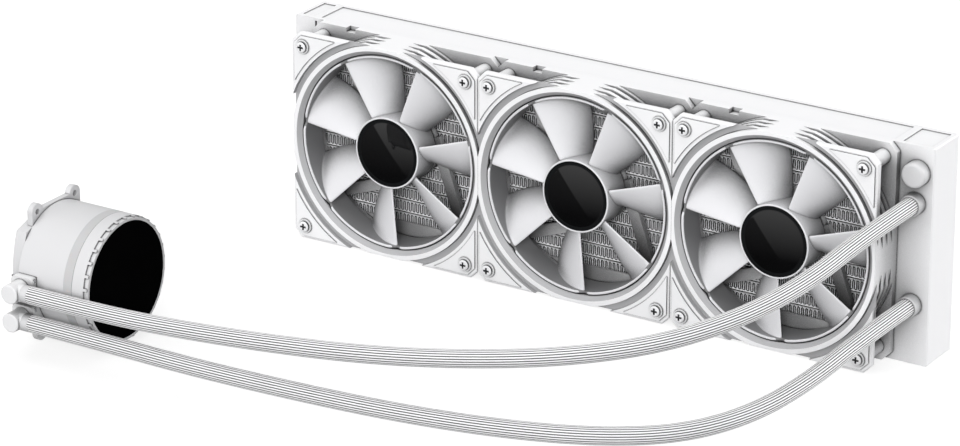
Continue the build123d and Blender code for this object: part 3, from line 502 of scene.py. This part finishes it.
def tip_ring():
    """A closed section of eight points carried round the axis. Its front height is lowered by
    a V at each blade's leading edge, which runs out 3.7 degrees ahead and 5.5 behind."""
    ahead, behind, depth = np.radians(3.7), np.radians(5.5), 0.0019
    local = np.concatenate(
        [
            np.linspace(-behind, 0, 6)[:-1],
            np.linspace(0, ahead, 5)[:-1],
            np.linspace(ahead, blade_step - behind, 32)[:-1],
        ]
    )
    angle = (first_blade - blade_step * np.arange(blade_count)[::-1, None] + local).ravel()
    drop = np.maximum(0, np.where(local < 0, 1 + local / behind, 1 - local / ahead))
    front = hub_front - depth * np.tile(drop, blade_count)
    middle, wall, edge = ring_outer - ring_wall / 2, ring_wall / 2, 0.0003
    flat = wall - edge
    across = np.array([wall, wall, flat, -flat, -wall, -wall, -flat, flat])
    from_front = np.array([0, -edge, 0, 0, -edge, 0, 0, 0])
    radius = (middle + across)[None, :] + 0 * front[:, None]
    height = front[:, None] + from_front[None, :]
    height[:, [0, 5]] = ring_rear + edge
    height[:, [6, 7]] = ring_rear
    points = np.stack(
        [radius * np.cos(angle)[:, None], radius * np.sin(angle)[:, None], height], axis=-1
    )
    return points.reshape(-1, 3), grid_faces(len(angle), 8, close_rows=True, close_columns=True)


cap_seat = hub_front - 0.0008
seat_radius = 0.01945
cup_inner, cup_ceiling = 0.0188, cap_seat - 0.0016
boss_radius, boss_rear = 0.0032, cap_seat - 0.0046
shaft_radius, shaft_front = 0.0015, cap_seat - 0.0008
cup_profile = eased(
    [
        (0, cap_seat),
        (seat_radius, cap_seat),
        (seat_radius, hub_front),
        (hub_radius, hub_front),
        (hub_radius, hub_rear),
        (cup_inner, hub_rear),
        (cup_inner, cup_ceiling),
        (boss_radius, cup_ceiling),
        (boss_radius, boss_rear),
        (shaft_radius, boss_rear),
        (shaft_radius, shaft_front),
        (0, shaft_front),
    ],
    [0, 0.00012, 0.0004, 0.0001, 0.0001, 0.0006, 0.0004, 0.0002, 0.0001, 0],
)


def fan_centre(name):
    """Where this fan's axis stands along the radiator."""
    low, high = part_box(f"{name}_hub_cap")
    return (low.x + high.x) / 2


for name in fan_names:
    grids = [turned(cup_profile, 144), tip_ring()]
    grids += [blade(first_blade - blade_step * place) for place in range(blade_count)]
    centre = fan_centre(name)
    placed = [
        (facing_front(points, centre, radiator_front, fan_height), quads) for points, quads in grids
    ]
    rotor = make_piece(f"{name}_blade_wheel", placed, rotor_plastic, f"{name}_rotor", 40.0)
    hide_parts(f"{name}_fan_rotor")


# Hub discs: polished black plastic, slightly domed, glued into the seat in each hub's front.
# Outside the dome runs a flat border with a matt black print.

polished_black = finish(
    "polished_black",
    (0.003, 0.003, 0.0032),
    (0.0045, 0.0045, 0.005),
    0.02,
    (0.02, 0.03),
    0.004,
    2e-7,
)
border_black = finish(
    "border_black", (0.004, 0.0045, 0.005), (0.006, 0.0065, 0.007), 0.003, (0.5, 0.6), 0.0003, 1e-6
)
border_black.node_tree.nodes["Principled BSDF"].inputs["Specular IOR Level"].default_value = 0.1
disc_radius, dome_radius = 0.01938, 0.0173
disc_edge, dome_rise = cap_seat + 0.0005, 0.0009
bevel_in, bevel_down = 0.0001, 0.00015
dome = np.linspace(1, 0, 25)
disc_profile = np.concatenate(
    [
        [[0, cap_seat], [disc_radius, cap_seat], [disc_radius, disc_edge - bevel_down]],
        [[disc_radius - bevel_in, disc_edge]],
        np.stack([dome_radius * dome, disc_edge + dome_rise * (1 - dome**2)], axis=-1),
    ]
)
for name in fan_names:
    points, quads = turned(disc_profile, 144)
    centre = fan_centre(name)
    points = facing_front(points, centre, radiator_front, fan_height)
    disc = make_piece(f"{name}_hub_disc", [(points, quads)], polished_black, f"{name}_rotor", 30.0)
    disc.data.materials.append(border_black)
    middles = np.empty(3 * len(disc.data.polygons))
    disc.data.polygons.foreach_get("center", middles)
    from_axis = np.hypot(middles[0::3] - centre, middles[2::3] - fan_height)
    disc.data.polygons.foreach_set("material_index", (from_axis > dome_radius).astype(np.int32))
    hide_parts(f"{name}_hub_cap")


# Fan motors: a ground steel shaft in a plain bronze bearing, a ring magnet in the hub, and a
# wound stack of iron sheets over a green circuit board, all behind the hub.

ground_steel = finish(
    "ground_steel", (0.62, 0.62, 0.63), (0.5, 0.5, 0.51), 0.003, (0.16, 0.3), 0.0001, 2e-6, 1.0
)
dress(ground_steel, *(f"{name}_fan_shaft" for name in fan_names))
bearing_bronze = finish(
    "bearing_bronze", (0.62, 0.43, 0.22), (0.42, 0.28, 0.14), 0.0006, (0.3, 0.5), 0.0002, 1e-5, 1.0
)
dress(bearing_bronze, *(f"{name}_fan_bearing" for name in fan_names))
ring_magnet = finish(
    "ring_magnet", (0.1, 0.1, 0.1), (0.15, 0.15, 0.155), 0.002, (0.5, 0.7), 0.0002, 1e-5
)
dress(ring_magnet, *(f"{name}_rotor_magnet" for name in fan_names))
board_green = finish(
    "board_green", (0.02, 0.11, 0.05), (0.03, 0.2, 0.08), 0.0012, (0.25, 0.4), 0.0004, 1e-5
)
dress(board_green, *(f"{name}_fan_board" for name in fan_names), "control_board")


band_pitch, band_relief = np.pi / 1000, 6e-5
wave_radians = 20  # what a wave texture of scale 1 runs through in a metre


def stacked_iron(name, stack):
    """Iron sheets under turns of enamelled copper wire: raised bands of one pitch that follow
    each other along the motor's axis, in a copper that drifts between two tones."""
    material = finish(
        name, (0.42, 0.2, 0.08), (0.3, 0.12, 0.05), 0.004, (0.3, 0.5), 0.0003, 1e-5, 0.7
    )
    tree = material.node_tree
    place = tree.nodes["Texture Coordinate"]
    bands = tree.nodes.new("ShaderNodeTexWave")
    bands.bands_direction = stack
    bands.inputs["Scale"].default_value = 2 * np.pi / band_pitch / wave_radians
    skin = tree.nodes["Bump"]
    tree.links.new(place.outputs["Object"], bands.inputs["Vector"])
    tree.links.new(bands.outputs["Fac"], skin.inputs["Height"])
    skin.inputs["Distance"].default_value = band_relief
    return material


dress(stacked_iron("fan_windings", "Y"), *(f"{name}_fan_stator" for name in fan_names))
dress(stacked_iron("pump_windings", "X"), "pump_stator")


# Fan screws: steel with a domed head and a pressed cross, through each fan into the side
# channels. Only the heads' fronts are white: their sides and the cross are painted black, as
# painted shade in the gap round each head and in the cross's recess.

screw_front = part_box("fan_screws")[0].y
screw_distance = 0.0525
cross_half, cross_reach = 0.00055, 0.00184
white_face_depth = 0.0007
screw_white_and_shade = finish(
    "screw_white_and_shade", (0.86, 0.86, 0.87), (0.78, 0.78, 0.8), 0.003, (0.22, 0.36), 0.0003, 5e-6
)
step = stepper(screw_white_and_shade.node_tree)
beside, above = (
    step("ABSOLUTE", step("SUBTRACT", distance, screw_distance))
    for distance in from_fan_axis(screw_white_and_shade.node_tree)
)
in_arm = step("LESS_THAN", step("MINIMUM", beside, above), cross_half)
within = step("LESS_THAN", step("MAXIMUM", beside, above), cross_reach)
behind = step("GREATER_THAN", place_of(screw_white_and_shade.node_tree)[1], screw_front + white_face_depth)
# Painted shade: everything behind the heads' fronts, and the cross, is coloured black.
screw_shade = step("MAXIMUM", step("MULTIPLY", in_arm, within), behind)
second_colour(screw_white_and_shade, (0.03, 0.03, 0.032), screw_shade)
dress(screw_white_and_shade, "fan_screws")


# Hoses: rubber tube in a white woven sleeve with round lengthwise ribs. Each runs level from an
# elbow on the pump, and in one wide bend to a barb on the right tank. Both are stiff.

rib_count = 22
hose_radius = 0.0047
hose_bore = 0.0031
groove_depth = 0.0005
points_a_rib = 8
bore_stride = 8
yarns_round, yarns_along = 44, 60
groove_shade_share, groove_shade_blend = 0.12, 6.0
upper_route = [
    (-0.1950, -0.2571, 0.0378),
    (-0.1460, -0.2571, 0.0378),
    (-0.0960, -0.2566, 0.0406),
    (-0.0430, -0.2572, 0.0458),
    (0.0120, -0.2560, 0.0522),
    (0.0660, -0.2486, 0.0596),
    (0.1150, -0.2336, 0.0670),
    (0.1540, -0.2094, 0.0743),
    (0.1778, -0.1730, 0.0809),
    (0.1880, -0.1285, 0.0860),
    (0.1870, -0.0725, 0.0890),
    (0.1870, -0.0199, 0.0890),
]
lower_route = [
    (-0.1950, -0.2571, 0.0220),
    (-0.1460, -0.2571, 0.0220),
    (-0.0910, -0.2589, 0.0225),
    (-0.0330, -0.2581, 0.0236),
    (0.0255, -0.2554, 0.0250),
    (0.0810, -0.2472, 0.0264),
    (0.1290, -0.2328, 0.0278),
    (0.1640, -0.2097, 0.0291),
    (0.1828, -0.1744, 0.0306),
    (0.1888, -0.1292, 0.0321),
    (0.1870, -0.0725, 0.0330),
    (0.1870, -0.0199, 0.0330),
]


def woven_sleeve():
    """White yarn over the ribs, with a fine twill of yarns that cross at two slants; the grooves
    between the ribs are painted near black, as painted shade in the creases. The map's first
    number runs once round the hose, and its second along it, in lengths of one turn round."""
    material = bpy.data.materials.new("woven_sleeve")
    material.use_nodes = True
    tree = material.node_tree
    shader = tree.nodes["Principled BSDF"]
    shader.inputs["Sheen Weight"].default_value = 0.15
    shader.inputs["Sheen Roughness"].default_value = 0.5
    step = stepper(tree)
    where = tree.nodes.new("ShaderNodeUVMap")
    where.uv_map = "sleeve"
    split = tree.nodes.new("ShaderNodeSeparateXYZ")
    tree.links.new(where.outputs["UV"], split.inputs[0])
    rib = step("FRACT", step("MULTIPLY", split.outputs[0], rib_count))
    middle = step("SUBTRACT", 0.5, step("ABSOLUTE", step("SUBTRACT", rib, 0.5)))
    # Painted shade: the grooves between the ribs are coloured near black.
    unshaded_rib = step("MULTIPLY", step("SUBTRACT", middle, groove_shade_share), groove_shade_blend, clamp=True)
    yarns = []
    for slant in (1, -1):
        across = step("MULTIPLY", split.outputs[0], yarns_round * slant)
        run = step("ADD", across, step("MULTIPLY", split.outputs[1], yarns_along))
        yarns.append(step("ABSOLUTE", step("SINE", step("MULTIPLY", run, np.pi))))
    weave = step("MAXIMUM", *yarns)
    tone = tree.nodes.new("ShaderNodeMix")
    tone.data_type = "RGBA"
    # The dark tone is the grooves' painted shade.
    tone.inputs[6].default_value = (0.05, 0.05, 0.055, 1)
    tone.inputs[7].default_value = (0.88, 0.88, 0.89, 1)
    cover = step("MULTIPLY", unshaded_rib, step("ADD", step("MULTIPLY", weave, 0.12), 0.88))
    tree.links.new(cover, tone.inputs[0])
    tree.links.new(tone.outputs[2], shader.inputs["Base Color"])
    rough = step("SUBTRACT", 0.85, step("MULTIPLY", weave, 0.2))
    tree.links.new(rough, shader.inputs["Roughness"])
    skin = tree.nodes.new("ShaderNodeBump")
    skin.inputs["Distance"].default_value = 4e-5
    tree.links.new(weave, skin.inputs["Height"])
    tree.links.new(skin.outputs["Normal"], shader.inputs["Normal"])
    return material


def hose_line(name, route):
    """Points along the hose, read from a spline that the route's points control."""
    curve = bpy.data.curves.new(name, "CURVE")
    curve.dimensions = "3D"
    curve.resolution_u = 26
    spline = curve.splines.new("NURBS")
    spline.points.add(len(route) - 1)
    spline.points.foreach_set("co", np.column_stack([route, np.ones(len(route))]).ravel())
    spline.order_u = 3
    spline.use_endpoint_u = True
    holder = bpy.data.objects.new(name, curve)
    read = bpy.data.meshes.new_from_object(holder)
    line = np.empty(3 * len(read.vertices))
    read.vertices.foreach_get("co", line)
    bpy.data.objects.remove(holder)
    bpy.data.curves.remove(curve)
    bpy.data.meshes.remove(read)
    return line.reshape(-1, 3)


def hose_skin(line):
    """Point (s, t) of a hose: the line's point s, plus the radius times (cos t across, sin t
    up). The radius dips into a groove between ribs by the depth times (1 - |sin|) of half the
    rib's angle, squared. At the outside's end the wall turns in and comes back along the bore,
    through fewer points."""
    columns = rib_count * points_a_rib
    t = np.arange(columns) * (2 * np.pi / columns)
    groove = (1 - np.abs(np.sin(rib_count * t / 2))) ** 2
    bore = np.concatenate([line[:0:-bore_stride], line[:1]])
    path = np.concatenate([line, bore])
    outside = np.tile(hose_radius - groove_depth * groove, (len(line), 1))
    radius = np.concatenate([outside, np.full((len(bore), columns), hose_bore)])
    heading = np.gradient(line, axis=0)
    heading /= np.linalg.norm(heading, axis=1, keepdims=True)
    picks = np.round(np.linspace(len(line) - 1, 0, len(bore))).astype(int)
    heading = np.concatenate([heading, heading[picks]])
    across = np.cross(heading, (0.0, 0.0, 1.0))
    across /= np.linalg.norm(across, axis=1, keepdims=True)
    rise = np.cross(across, heading)
    points = (
        path[:, None, :]
        + radius[:, :, None] * np.cos(t)[None, :, None] * across[:, None, :]
        + radius[:, :, None] * np.sin(t)[None, :, None] * rise[:, None, :]
    )
    steps = np.linalg.norm(np.diff(path, axis=0), axis=1)
    reach = np.concatenate([[0], np.cumsum(steps)]) / (2 * np.pi * hose_radius)
    row = np.arange(len(path))[:, None]
    column = np.arange(columns)[None, :]
    corner_rows = np.stack([row, row + 1, row + 1, row], -1) + 0 * column[..., None]
    corner_columns = np.stack([column, column, column + 1, column + 1], -1) + 0 * row[..., None]
    around = corner_columns / columns
    along = np.append(reach, reach[-1])[corner_rows]
    quads = grid_faces(len(path), columns, close_rows=True, close_columns=True)
    return points.reshape(-1, 3), quads, np.stack([around, along], -1).reshape(-1)


sleeve = woven_sleeve()
for name, route in (("upper", upper_route), ("lower", lower_route)):
    line = hose_line(f"{name}_hose_line", route)
    points, quads, sleeve_map = hose_skin(line)
    mesh = bpy.data.meshes.new(f"{name}_ribbed_hose")
    mesh.from_pydata(points.tolist(), [], quads.tolist())
    mesh.uv_layers.new(name="sleeve").data.foreach_set("uv", sleeve_map)
    edit = bmesh.new()
    edit.from_mesh(mesh)
    bmesh.ops.recalc_face_normals(edit, faces=edit.faces)
    edit.to_mesh(mesh)
    edit.free()
    mesh.polygons.foreach_set("use_smooth", np.ones(len(mesh.polygons), dtype=bool))
    mesh.set_sharp_from_angle(angle=np.radians(60))
    mesh.materials.append(sleeve)
    hose = bpy.data.objects.new(f"{name}_ribbed_hose", mesh)
    bpy.context.scene.collection.objects.link(hose)
    hose.visible_glossy = False  # the polished discs mirror the room, not the hoses
    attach(hose, "cooler")
    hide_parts(f"{name}_hose")
    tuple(route[0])


# Ferrules: smooth coated metal sleeves over the four ends of the hoses. Pressed round the
# sleeve's end, each grips its hose on a barb of the tank or of an elbow.

ferrule_coat = finish(
    "white_ferrule",
    (0.62, 0.62, 0.63),
    (0.58, 0.58, 0.59),
    0.008,
    (0.3, 0.42),
    0.0004,
    3e-6,
    corners=((0.1, 0.015, 0.2, 0.9), (0.2, 0.0012, 0.5, 0.9)),
)
dress(
    ferrule_coat,
    "upper_tank_ferrule",
    "lower_tank_ferrule",
    "upper_elbow_ferrule",
    "lower_elbow_ferrule",
)


# Pump shell: housing, bezel ring and base ring are satin white mouldings, stacked round the
# chamber. The two elbows are glossier mouldings that plug into the chamber's blocks.

# Painted shade: the housing, bezel and base ring take a darker copy of the white, 0.62, that holds
# their brightly lit faces below full white.
shaded_pump_plastic = finish(
    "white_pump_plastic",
    (0.62, 0.62, 0.63),
    (0.6, 0.6, 0.61),
    0.03,
    (0.42, 0.52),
    0.0006,
    3e-6,
    corners=((0.3, 0.006, 0.1, 0.85), (0.1, 0.0008, 0.5, 0.9)),
)
dress(shaded_pump_plastic, "pump_housing", "bezel_ring", "base_ring")
elbow_plastic = finish(
    "white_elbow_plastic",
    (0.8, 0.8, 0.81),
    (0.77, 0.77, 0.78),
    0.02,
    (0.24, 0.34),
    0.0006,
    3e-6,
    corners=((0.15, 0.008, 0.2, 0.9), (0.1, 0.0008, 0.5, 0.9)),
)
dress(elbow_plastic, "upper_elbow", "lower_elbow")


# Light ring: a translucent grey diffuser between bezel and housing, unlit, with a dark joint
# along each edge.

diffuser = finish(
    "grey_diffuser", (0.5, 0.5, 0.505), (0.47, 0.47, 0.475), 0.01, (0.3, 0.42), 0.0005, 3e-6
)
joint_width = 0.0002
ring_low, ring_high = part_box("light_ring")
step = stepper(diffuser.node_tree)
ring_middle, ring_half = (ring_low.x + ring_high.x) / 2, (ring_high.x - ring_low.x) / 2
from_middle = step("ABSOLUTE", step("SUBTRACT", place_of(diffuser.node_tree)[0], ring_middle))
in_joint = step("GREATER_THAN", from_middle, ring_half - joint_width)
second_colour(diffuser, (0.12, 0.12, 0.125), in_joint)
diffuser_shader = diffuser.node_tree.nodes["Principled BSDF"]
diffuser_shader.inputs["Subsurface Weight"].default_value = 0.2
diffuser_shader.inputs["Subsurface Scale"].default_value = 0.002
dress(diffuser, "light_ring")


# Window and screen: a flat black glass, held in the pump's front by the bezel ring, over a
# round screen that is switched off and doesn't show through.

black_glass = finish(
    "black_glass",
    (0.0012, 0.0012, 0.0013),
    (0.0018, 0.0018, 0.002),
    0.02,
    (0.03, 0.05),
    0.005,
    1e-7,
)
black_glass.node_tree.nodes["Principled BSDF"].inputs["Specular IOR Level"].default_value = 0.1
dress(black_glass, "display_window")
screen_dark = finish(
    "screen_dark", (0.02, 0.02, 0.025), (0.03, 0.03, 0.035), 0.004, (0.2, 0.3), 0.0002, 2e-6
)
dress(screen_dark, "display_panel")


# Inside of the pump: a white moulded chamber with its fitting blocks, a black impeller on a
# polished ceramic spindle, rubber rings, spring-steel clips, and a milled copper plate held by
# eight small screws.

chamber_plastic = finish(
    "chamber_plastic",
    (0.86, 0.86, 0.87),
    (0.84, 0.84, 0.85),
    0.02,
    (0.3, 0.4),
    0.0004,
    4e-6,
    corners=((0.2, 0.01, 0.2, 0.85), (0.1, 0.0008, 0.5, 0.9)),
)
dress(chamber_plastic, "pump_chamber")
impeller_black = finish(
    "impeller_black", (0.08, 0.08, 0.085), (0.11, 0.11, 0.115), 0.004, (0.4, 0.55), 0.0003, 6e-6
)
dress(impeller_black, "pump_impeller")
spindle_ceramic = finish(
    "spindle_ceramic", (0.88, 0.87, 0.83), (0.8, 0.79, 0.75), 0.002, (0.12, 0.22), 0.0002, 2e-6
)
dress(spindle_ceramic, "impeller_shaft")
dress(rubber, "elbow_seals", "cold_plate_seal")
dress(ground_steel, "elbow_clips", "cold_plate_screws")
milled_copper = finish(
    "milled_copper", (0.74, 0.37, 0.22), (0.66, 0.31, 0.18), 0.006, (0.3, 0.42), 0.0004, 2e-6, 1.0
)
dress(milled_copper, "cold_plate")


# Floor and light: a pale floor in a white studio. Five wide soft lamps shine from beside the
# camera, from the left front, from above, and from behind on the right and on the left.

floor_half = 8.0
floor_drop = 0.0003
floor_glow = 0.78


def studio_floor():
    """Pale floor: its own white is added for the camera's rays, so that its open parts reach
    the background's white, and polished pieces see past it to the room."""
    material = bpy.data.materials.new("pale_floor")
    material.use_nodes = True
    tree = material.node_tree
    tree.nodes.remove(tree.nodes["Principled BSDF"])
    matt = tree.nodes.new("ShaderNodeBsdfDiffuse")
    matt.inputs["Color"].default_value = (0.3, 0.3, 0.3, 1)
    glow = tree.nodes.new("ShaderNodeEmission")
    path = tree.nodes.new("ShaderNodeLightPath")
    lift = tree.nodes.new("ShaderNodeMath")
    lift.operation = "MULTIPLY"
    lift.inputs[1].default_value = floor_glow
    tree.links.new(path.outputs["Is Camera Ray"], lift.inputs[0])
    tree.links.new(lift.outputs[0], glow.inputs["Strength"])
    total = tree.nodes.new("ShaderNodeAddShader")
    tree.links.new(matt.outputs[0], total.inputs[0])
    tree.links.new(glow.outputs[0], total.inputs[1])
    clear = tree.nodes.new("ShaderNodeBsdfTransparent")
    choice = tree.nodes.new("ShaderNodeMixShader")
    tree.links.new(path.outputs["Is Glossy Ray"], choice.inputs[0])
    tree.links.new(total.outputs[0], choice.inputs[1])
    tree.links.new(clear.outputs[0], choice.inputs[2])
    tree.links.new(choice.outputs[0], tree.nodes["Material Output"].inputs["Surface"])
    return material


floor_corners = ((-1, -1), (1, -1), (1, 1), (-1, 1))
floor_mesh = bpy.data.meshes.new("floor")
floor_mesh.from_pydata(
    [(x * floor_half, y * floor_half, -floor_drop) for x, y in floor_corners],
    [],
    [(0, 1, 2, 3)],
)
floor_mesh.materials.append(studio_floor())
floor = bpy.data.objects.new("floor", floor_mesh)
bpy.context.scene.collection.objects.link(floor)
floor.visible_shadow = False  # the floor takes shadows, and throws none onto the cooler


horizon, horizon_fade = -0.05, 12
sheet_slope, sheet_edge = 1.21, -0.947
edge_blur, edge_fade = 0.004, 120
sheet_low, sheet_fade = -0.47, 3.6
sheet_gain, under_sheet = 0.8, 0.2
rear_grey, matt_grey = 0.4, 0.15


def studio_room():
    """White for the camera, even grey for matt surfaces. For polished ones the room is white
    above the floor's line, grey below it at the rear left, and dark elsewhere below it but for
    one slanting bright sheet in front. A ray meets the sheet where its z plus the slope times
    its x is over the edge, and its light fades as the ray turns down."""
    world = bpy.data.worlds.new("studio")
    world.use_nodes = True
    tree = world.node_tree
    ground = tree.nodes["Background"]
    step = stepper(tree)
    path = tree.nodes.new("ShaderNodeLightPath")
    where = tree.nodes.new("ShaderNodeTexCoord")
    ray = tree.nodes.new("ShaderNodeSeparateXYZ")
    tree.links.new(where.outputs["Generated"], ray.inputs[0])
    x, y, z = ray.outputs
    slant = step("ADD", z, step("MULTIPLY", x, sheet_slope))
    on_sheet = step("MULTIPLY", step("ADD", slant, edge_blur - sheet_edge), edge_fade, clamp=True)
    fade = step("MULTIPLY", step("SUBTRACT", z, sheet_low), sheet_fade, clamp=True)
    sheet_light = step("ADD", step("MULTIPLY", on_sheet, sheet_gain), under_sheet)
    bright = step("MULTIPLY", sheet_light, fade)
    front = step("LESS_THAN", y, 0.0)
    above = step("MULTIPLY", step("SUBTRACT", z, horizon), horizon_fade, clamp=True)
    left = step("LESS_THAN", x, 0.0)
    rear = step("MULTIPLY", step("GREATER_THAN", y, 0.0), step("MULTIPLY", left, rear_grey))
    polished = step("MAXIMUM", step("MAXIMUM", above, rear), step("MULTIPLY", bright, front))
    soft = step("MULTIPLY", step("SUBTRACT", 1.0, path.outputs["Is Glossy Ray"]), matt_grey)
    seen = step("ADD", soft, step("MULTIPLY", polished, path.outputs["Is Glossy Ray"]))
    strength = step("MAXIMUM", seen, path.outputs["Is Camera Ray"])
    tree.links.new(strength, ground.inputs["Strength"])
    ground.inputs["Color"].default_value = (1, 1, 1, 1)
    bpy.context.scene.world = world


def soft_sun(name, towards, level, spread):
    """A wide soft light that shines along one direction, and that polished pieces don't mirror.
    Level is what it adds, on a facing white surface, to that surface's colour."""
    lamp = bpy.data.lights.new(name, "SUN")
    lamp.energy = level * np.pi
    lamp.angle = np.radians(spread)
    holder = bpy.data.objects.new(name, lamp)
    holder.visible_glossy = False
    holder.rotation_euler = Vector(towards).to_track_quat("-Z", "Y").to_euler()
    bpy.context.scene.collection.objects.link(holder)


studio_room()
soft_sun("key", (-0.38, 0.83, -0.37), 0.74, 25)
soft_sun("front", (0.8, 1.0, -0.25), 0.22, 30)
soft_sun("top", (0.0, 0.15, -1.0), 0.5, 60)
soft_sun("side", (-1.0, -1.2, -0.1), 0.9, 40)
soft_sun("back", (0.5, -1.0, -0.1), 0.2, 50)


# Camera: a long lens at the right front, a little over two metres away, which looks down on
# the cooler and shows its front, the pump's window and the tank's fittings.

look_down, look_round = 21.65, 32.53
camera_data = bpy.data.cameras.new("camera")
camera_data.lens = 163.1
camera_data.sensor_width = 36.0
camera_data.clip_end = 100.0
camera = bpy.data.objects.new("camera", camera_data)
camera.location = (1.11039, -1.87424, 0.89772)
camera.rotation_euler = Euler(np.radians([90.0 - look_down, 0.0, look_round]))
bpy.context.scene.collection.objects.link(camera)
bpy.context.scene.camera = camera

bpy.context.scene.view_settings.view_transform = "Standard"
